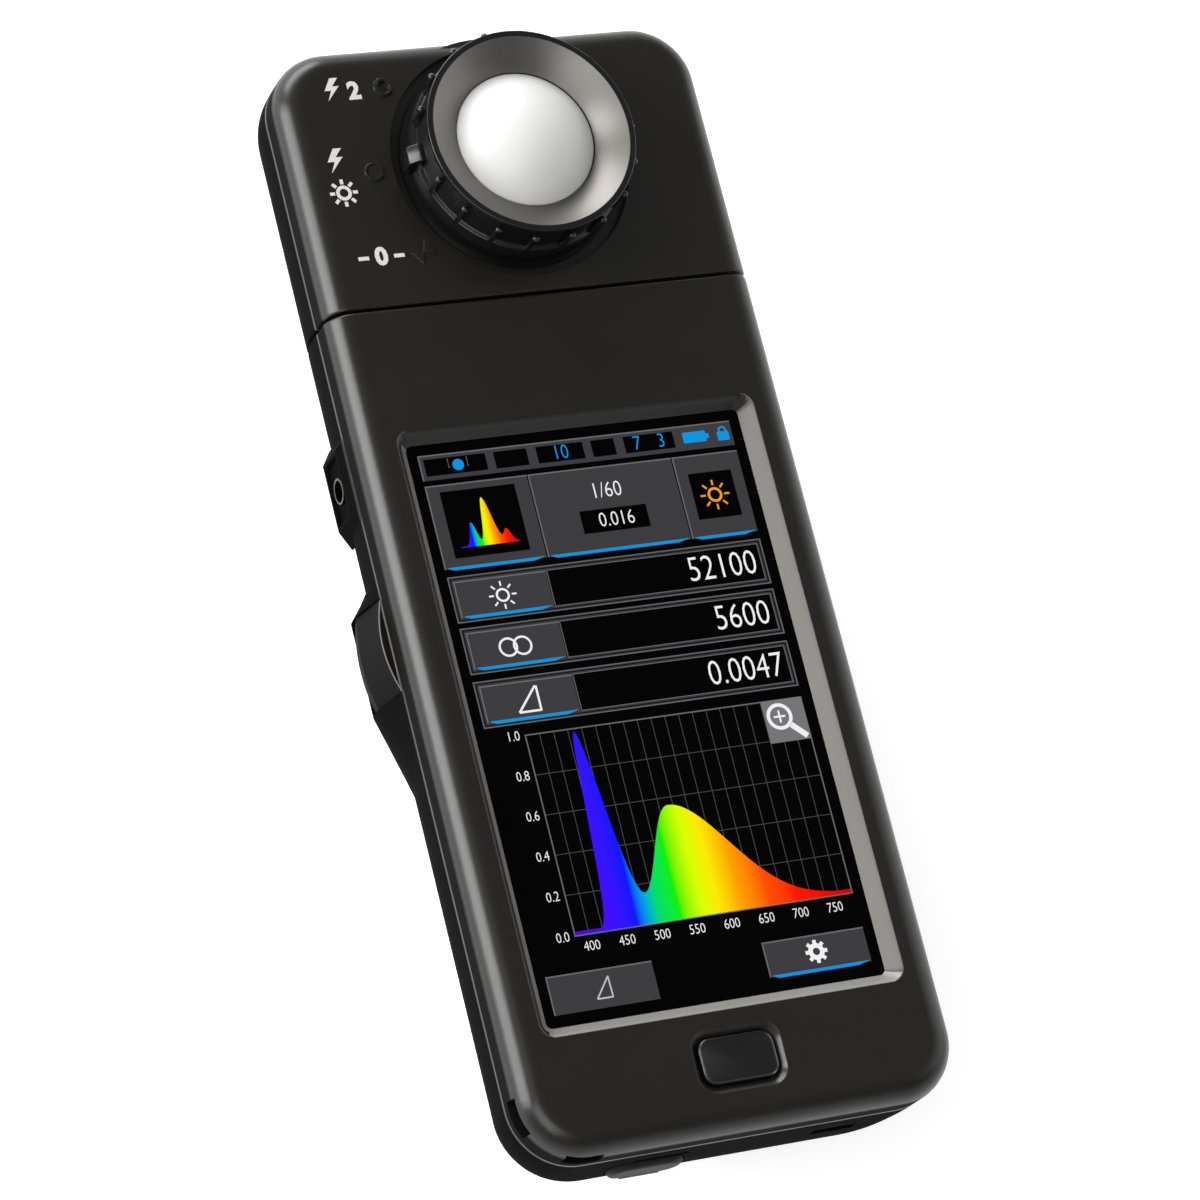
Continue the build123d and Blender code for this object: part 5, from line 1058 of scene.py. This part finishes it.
black_steel = metal("black_oxide_steel", "2b2b2c", "343436", 0.38, 0.2, (1, 1, 1))
dress(black_steel, "head_screws", "body_screws")
nickel = metal("black_nickel_plated_brass", "3c3a38", "484643", 0.24, 0.2, (0.2, 1, 1))
dress(nickel, "flash_terminal", "flash_contact")
brass = metal("turned_brass", "c2a05a", "cfae68", 0.3, 0.1, (1, 1, 0.1))
dress(brass, "tripod_bush")
label_film = moulded("polyester_label_film_grey", "6d6e70", "747577", 0.5, 0.5, 0.3, 0.05)
dress(label_film, "rear_label")


# Inside the case: moulded carriers, boards, pressed steel, turned aluminium and optics. They show
# only when the covers are off, and each has the plain finish of its own process.
inner_abs = moulded("moulded_abs_plain_black", "242424", "2a2a2a", 0.5, 0.5, 0.35, 0.1)
dress(
    inner_abs,
    "receptor_hub",
    "battery_tray",
    "optics_block",
    "optics_lid",
    "lead_socket",
    "buzzer",
    "menu_switch",
    "memory_switch",
    "measure_switch",
    "power_switch",
    "board_plug",
    "display_module",
)
steel = metal("cold_rolled_steel", "a9a9a8", "b5b5b4", 0.34, 0.25, (0.1, 1, 1))
dress(
    steel,
    "hub_screws",
    "drive_pins",
    "swivel_clip",
    "battery_springs",
    "battery_contacts",
    "processor_shield",
    "display_chassis",
    "usb_socket",
    "slit_plate",
    "friction_washer",
)
aluminium = metal("turned_aluminium", "b9babb", "c6c7c8", 0.3, 0.15, (1, 0.1, 1))
dress(aluminium, "swivel_neck")
mirror = metal("vacuum_coated_aluminium", "e4e5e6", "ecedee", 0.08, 2.0, (1, 1, 1))
dress(mirror, "fold_mirror", "diffraction_grating")
ceramic = moulded("black_ceramic_package", "1d1d20", "26262a", 0.2, 0.3, 0.5, 0.05)
dress(ceramic, "line_sensor")
wrap = moulded("shrunk_film_grey", "8f9092", "9b9c9e", 0.6, 0.25, 0.5, 0.05)
dress(wrap, "battery_cell_inner", "battery_cell_outer")

board_mask, tree, place = start_material("solder_mask_green")
tracks = add(
    tree,
    "ShaderNodeTexBrick",
    inputs={
        "Vector": place,
        "Scale": 1.0,
        "Brick Width": 3 * mm,
        "Row Height": 0.8 * mm,
        "Mortar Size": 0.08 * mm,
        "Color1": srgb("12502c"),
        "Color2": srgb("0f4526"),
        "Mortar": srgb("1d6a3c"),
    },
)
board_bump = add(
    tree, "ShaderNodeBump", inputs={"Strength": 0.2, "Distance": 0.03 * mm, "Height": tracks.outputs["Fac"]}
)
board_shader = add(
    tree,
    "ShaderNodeBsdfPrincipled",
    inputs={
        "Base Color": tracks.outputs["Color"],
        "Roughness": 0.35,
        "Normal": board_bump.outputs["Normal"],
    },
)
add(tree, "ShaderNodeOutputMaterial", inputs={"Surface": board_shader.outputs["BSDF"]})
dress(board_mask, "main_board", "sensor_board", "usb_board", "left_switch_board", "right_switch_board")

clear_optic, tree, place = start_material("polished_optical_acrylic")
seeds = add(tree, "ShaderNodeTexNoise", inputs={"Vector": place, "Scale": 1 / (1.5 * mm)})
clear_shine = add(
    tree, "ShaderNodeMapRange", inputs={"Value": seeds.outputs["Fac"], "To Min": 0.02, "To Max": 0.06}
)
clear_shader = add(
    tree,
    "ShaderNodeBsdfPrincipled",
    inputs={
        "Base Color": srgb("f1f5f8"),
        "Roughness": clear_shine.outputs["Result"],
        "IOR": 1.49,
        "Transmission Weight": 1.0,
    },
)
add(tree, "ShaderNodeOutputMaterial", inputs={"Surface": clear_shader.outputs["BSDF"]})
dress(clear_optic, "filter_glass", "light_guide")


# The studio: a white paper sweep with a low riser under the body, so that the head can turn. The
# paper shows white to the camera and in reflections, and still takes the device's shadow.
paper, tree, place = start_material("white_paper_sweep")
path = add(tree, "ShaderNodeLightPath")
seen = add(
    tree,
    "ShaderNodeMath",
    {"operation": "MAXIMUM"},
    {0: path.outputs["Is Camera Ray"], 1: path.outputs["Is Glossy Ray"]},
)
seen_through = add(
    tree,
    "ShaderNodeMath",
    {"operation": "MAXIMUM"},
    {0: seen.outputs["Value"], 1: path.outputs["Is Transmission Ray"]},
)
lift = add(tree, "ShaderNodeMath", {"operation": "MULTIPLY"}, {0: seen_through.outputs["Value"], 1: 0.5})
paper_skin = add(tree, "ShaderNodeBsdfDiffuse", inputs={"Color": srgb("f2f2f2")})
paper_glow = add(tree, "ShaderNodeEmission", inputs={"Strength": lift.outputs["Value"]})
paper_both = add(
    tree, "ShaderNodeAddShader", inputs={0: paper_skin.outputs["BSDF"], 1: paper_glow.outputs["Emission"]}
)
add(tree, "ShaderNodeOutputMaterial", inputs={"Surface": paper_both.outputs["Shader"]})

floor_level = -26.2
sweep_profile = ((0, 0), (3000, 0), (3500, 130), (3870, 500), (4000, 1000), (4000, 1600))
sweep_steps = 64
riser_size = (44.0, 104.0, 4.0)
riser_y = -22.0
riser_gap = 0.02
sweep_line = [(radius, height + floor_level) for radius, height in sweep_profile]
sweep_mesh = turned(sweep_line, 0.0, sweep_steps, closed=False, weld=1.0)
riser_mesh = bmesh.new()
riser_foot = rounded_sheet(riser_mesh, (0, riser_y), riser_size, floor_level)
thicken(riser_mesh, riser_foot, -floor_level - riser_gap)
bmesh.ops.recalc_face_normals(riser_mesh, faces=riser_mesh.faces)
for name, mesh, rounded in (("paper_sweep", sweep_mesh, True), ("paper_riser", riser_mesh, False)):
    data = bpy.data.meshes.new(name)
    mesh.to_mesh(data)
    mesh.free()
    data.materials.append(paper)
    data.polygons.foreach_set("use_smooth", [rounded] * len(data.polygons))
    staged = bpy.data.objects.new(data.name, data)
    bpy.context.scene.collection.objects.link(staged)


# The lamps: a tall soft box at the left and a wide one behind, which give the broad sheen. A low strip
# at the right gives the thin line along that edge. Two fills lift the shadows, one beside the camera.
lamp_distance = 1.4


def soft_box(name, direction, size, radiance):
    """Adds an area lamp that looks at the device. Its power follows from its radiance and size."""
    lamp_data = bpy.data.lights.new(name, "AREA")
    lamp_data.shape = "RECTANGLE"
    lamp_data.size, lamp_data.size_y = size
    lamp_data.energy = radiance * math.pi * size[0] * size[1]
    lamp = bpy.data.objects.new(name, lamp_data)
    bpy.context.scene.collection.objects.link(lamp)
    away = Vector(direction).normalized()
    turn = away.to_track_quat("Z", "Y").to_matrix().to_4x4()
    lamp.matrix_world = Matrix.Translation(away * lamp_distance) @ turn
    lamp.visible_camera = False


soft_box("left_box", (-0.88, 0.275, 0.39), (0.7, 1.1), 8.6)
soft_box("back_box", (-0.198, 0.93, 0.309), (1.13, 0.6), 7.0)
soft_box("right_strip", (0.955, 0.275, 0.105), (0.7, 0.16), 1.5)
soft_box("right_fill", (0.85, 0.0, 0.53), (0.9, 0.9), 1.0)
soft_box("front_fill", (-0.386, -0.275, 0.88), (0.8, 0.8), 3.2)
world = bpy.data.worlds.new("studio_air")
world.use_nodes = True
world.node_tree.nodes["Background"].inputs["Color"].default_value = (0.2, 0.2, 0.2, 1.0)
bpy.context.scene.world = world


# The camera: a long lens over the lower left of the device, where the photograph was taken from. Its
# place and axes were solved from the case's corners, the display's edges and the ring's circles.
lens_length = 153.0
sensor_width = 36.0
camera_place = (-0.31007, -0.22416, 0.72517)
camera_right = (0.91478, -0.2369, 0.32719)
camera_up = (0.11843, 0.93167, 0.34346)
camera_back = (-0.3862, -0.27545, 0.88033)
camera_data = bpy.data.cameras.new("photo_camera")
camera_data.lens = lens_length
camera_data.sensor_width = sensor_width
camera = bpy.data.objects.new("photo_camera", camera_data)
bpy.context.scene.collection.objects.link(camera)
camera_rows = zip(camera_right, camera_up, camera_back, camera_place)
camera.matrix_world = Matrix([*camera_rows, (0, 0, 0, 1)])
bpy.context.scene.camera = camera
bpy.context.scene.view_settings.view_transform = "Standard"
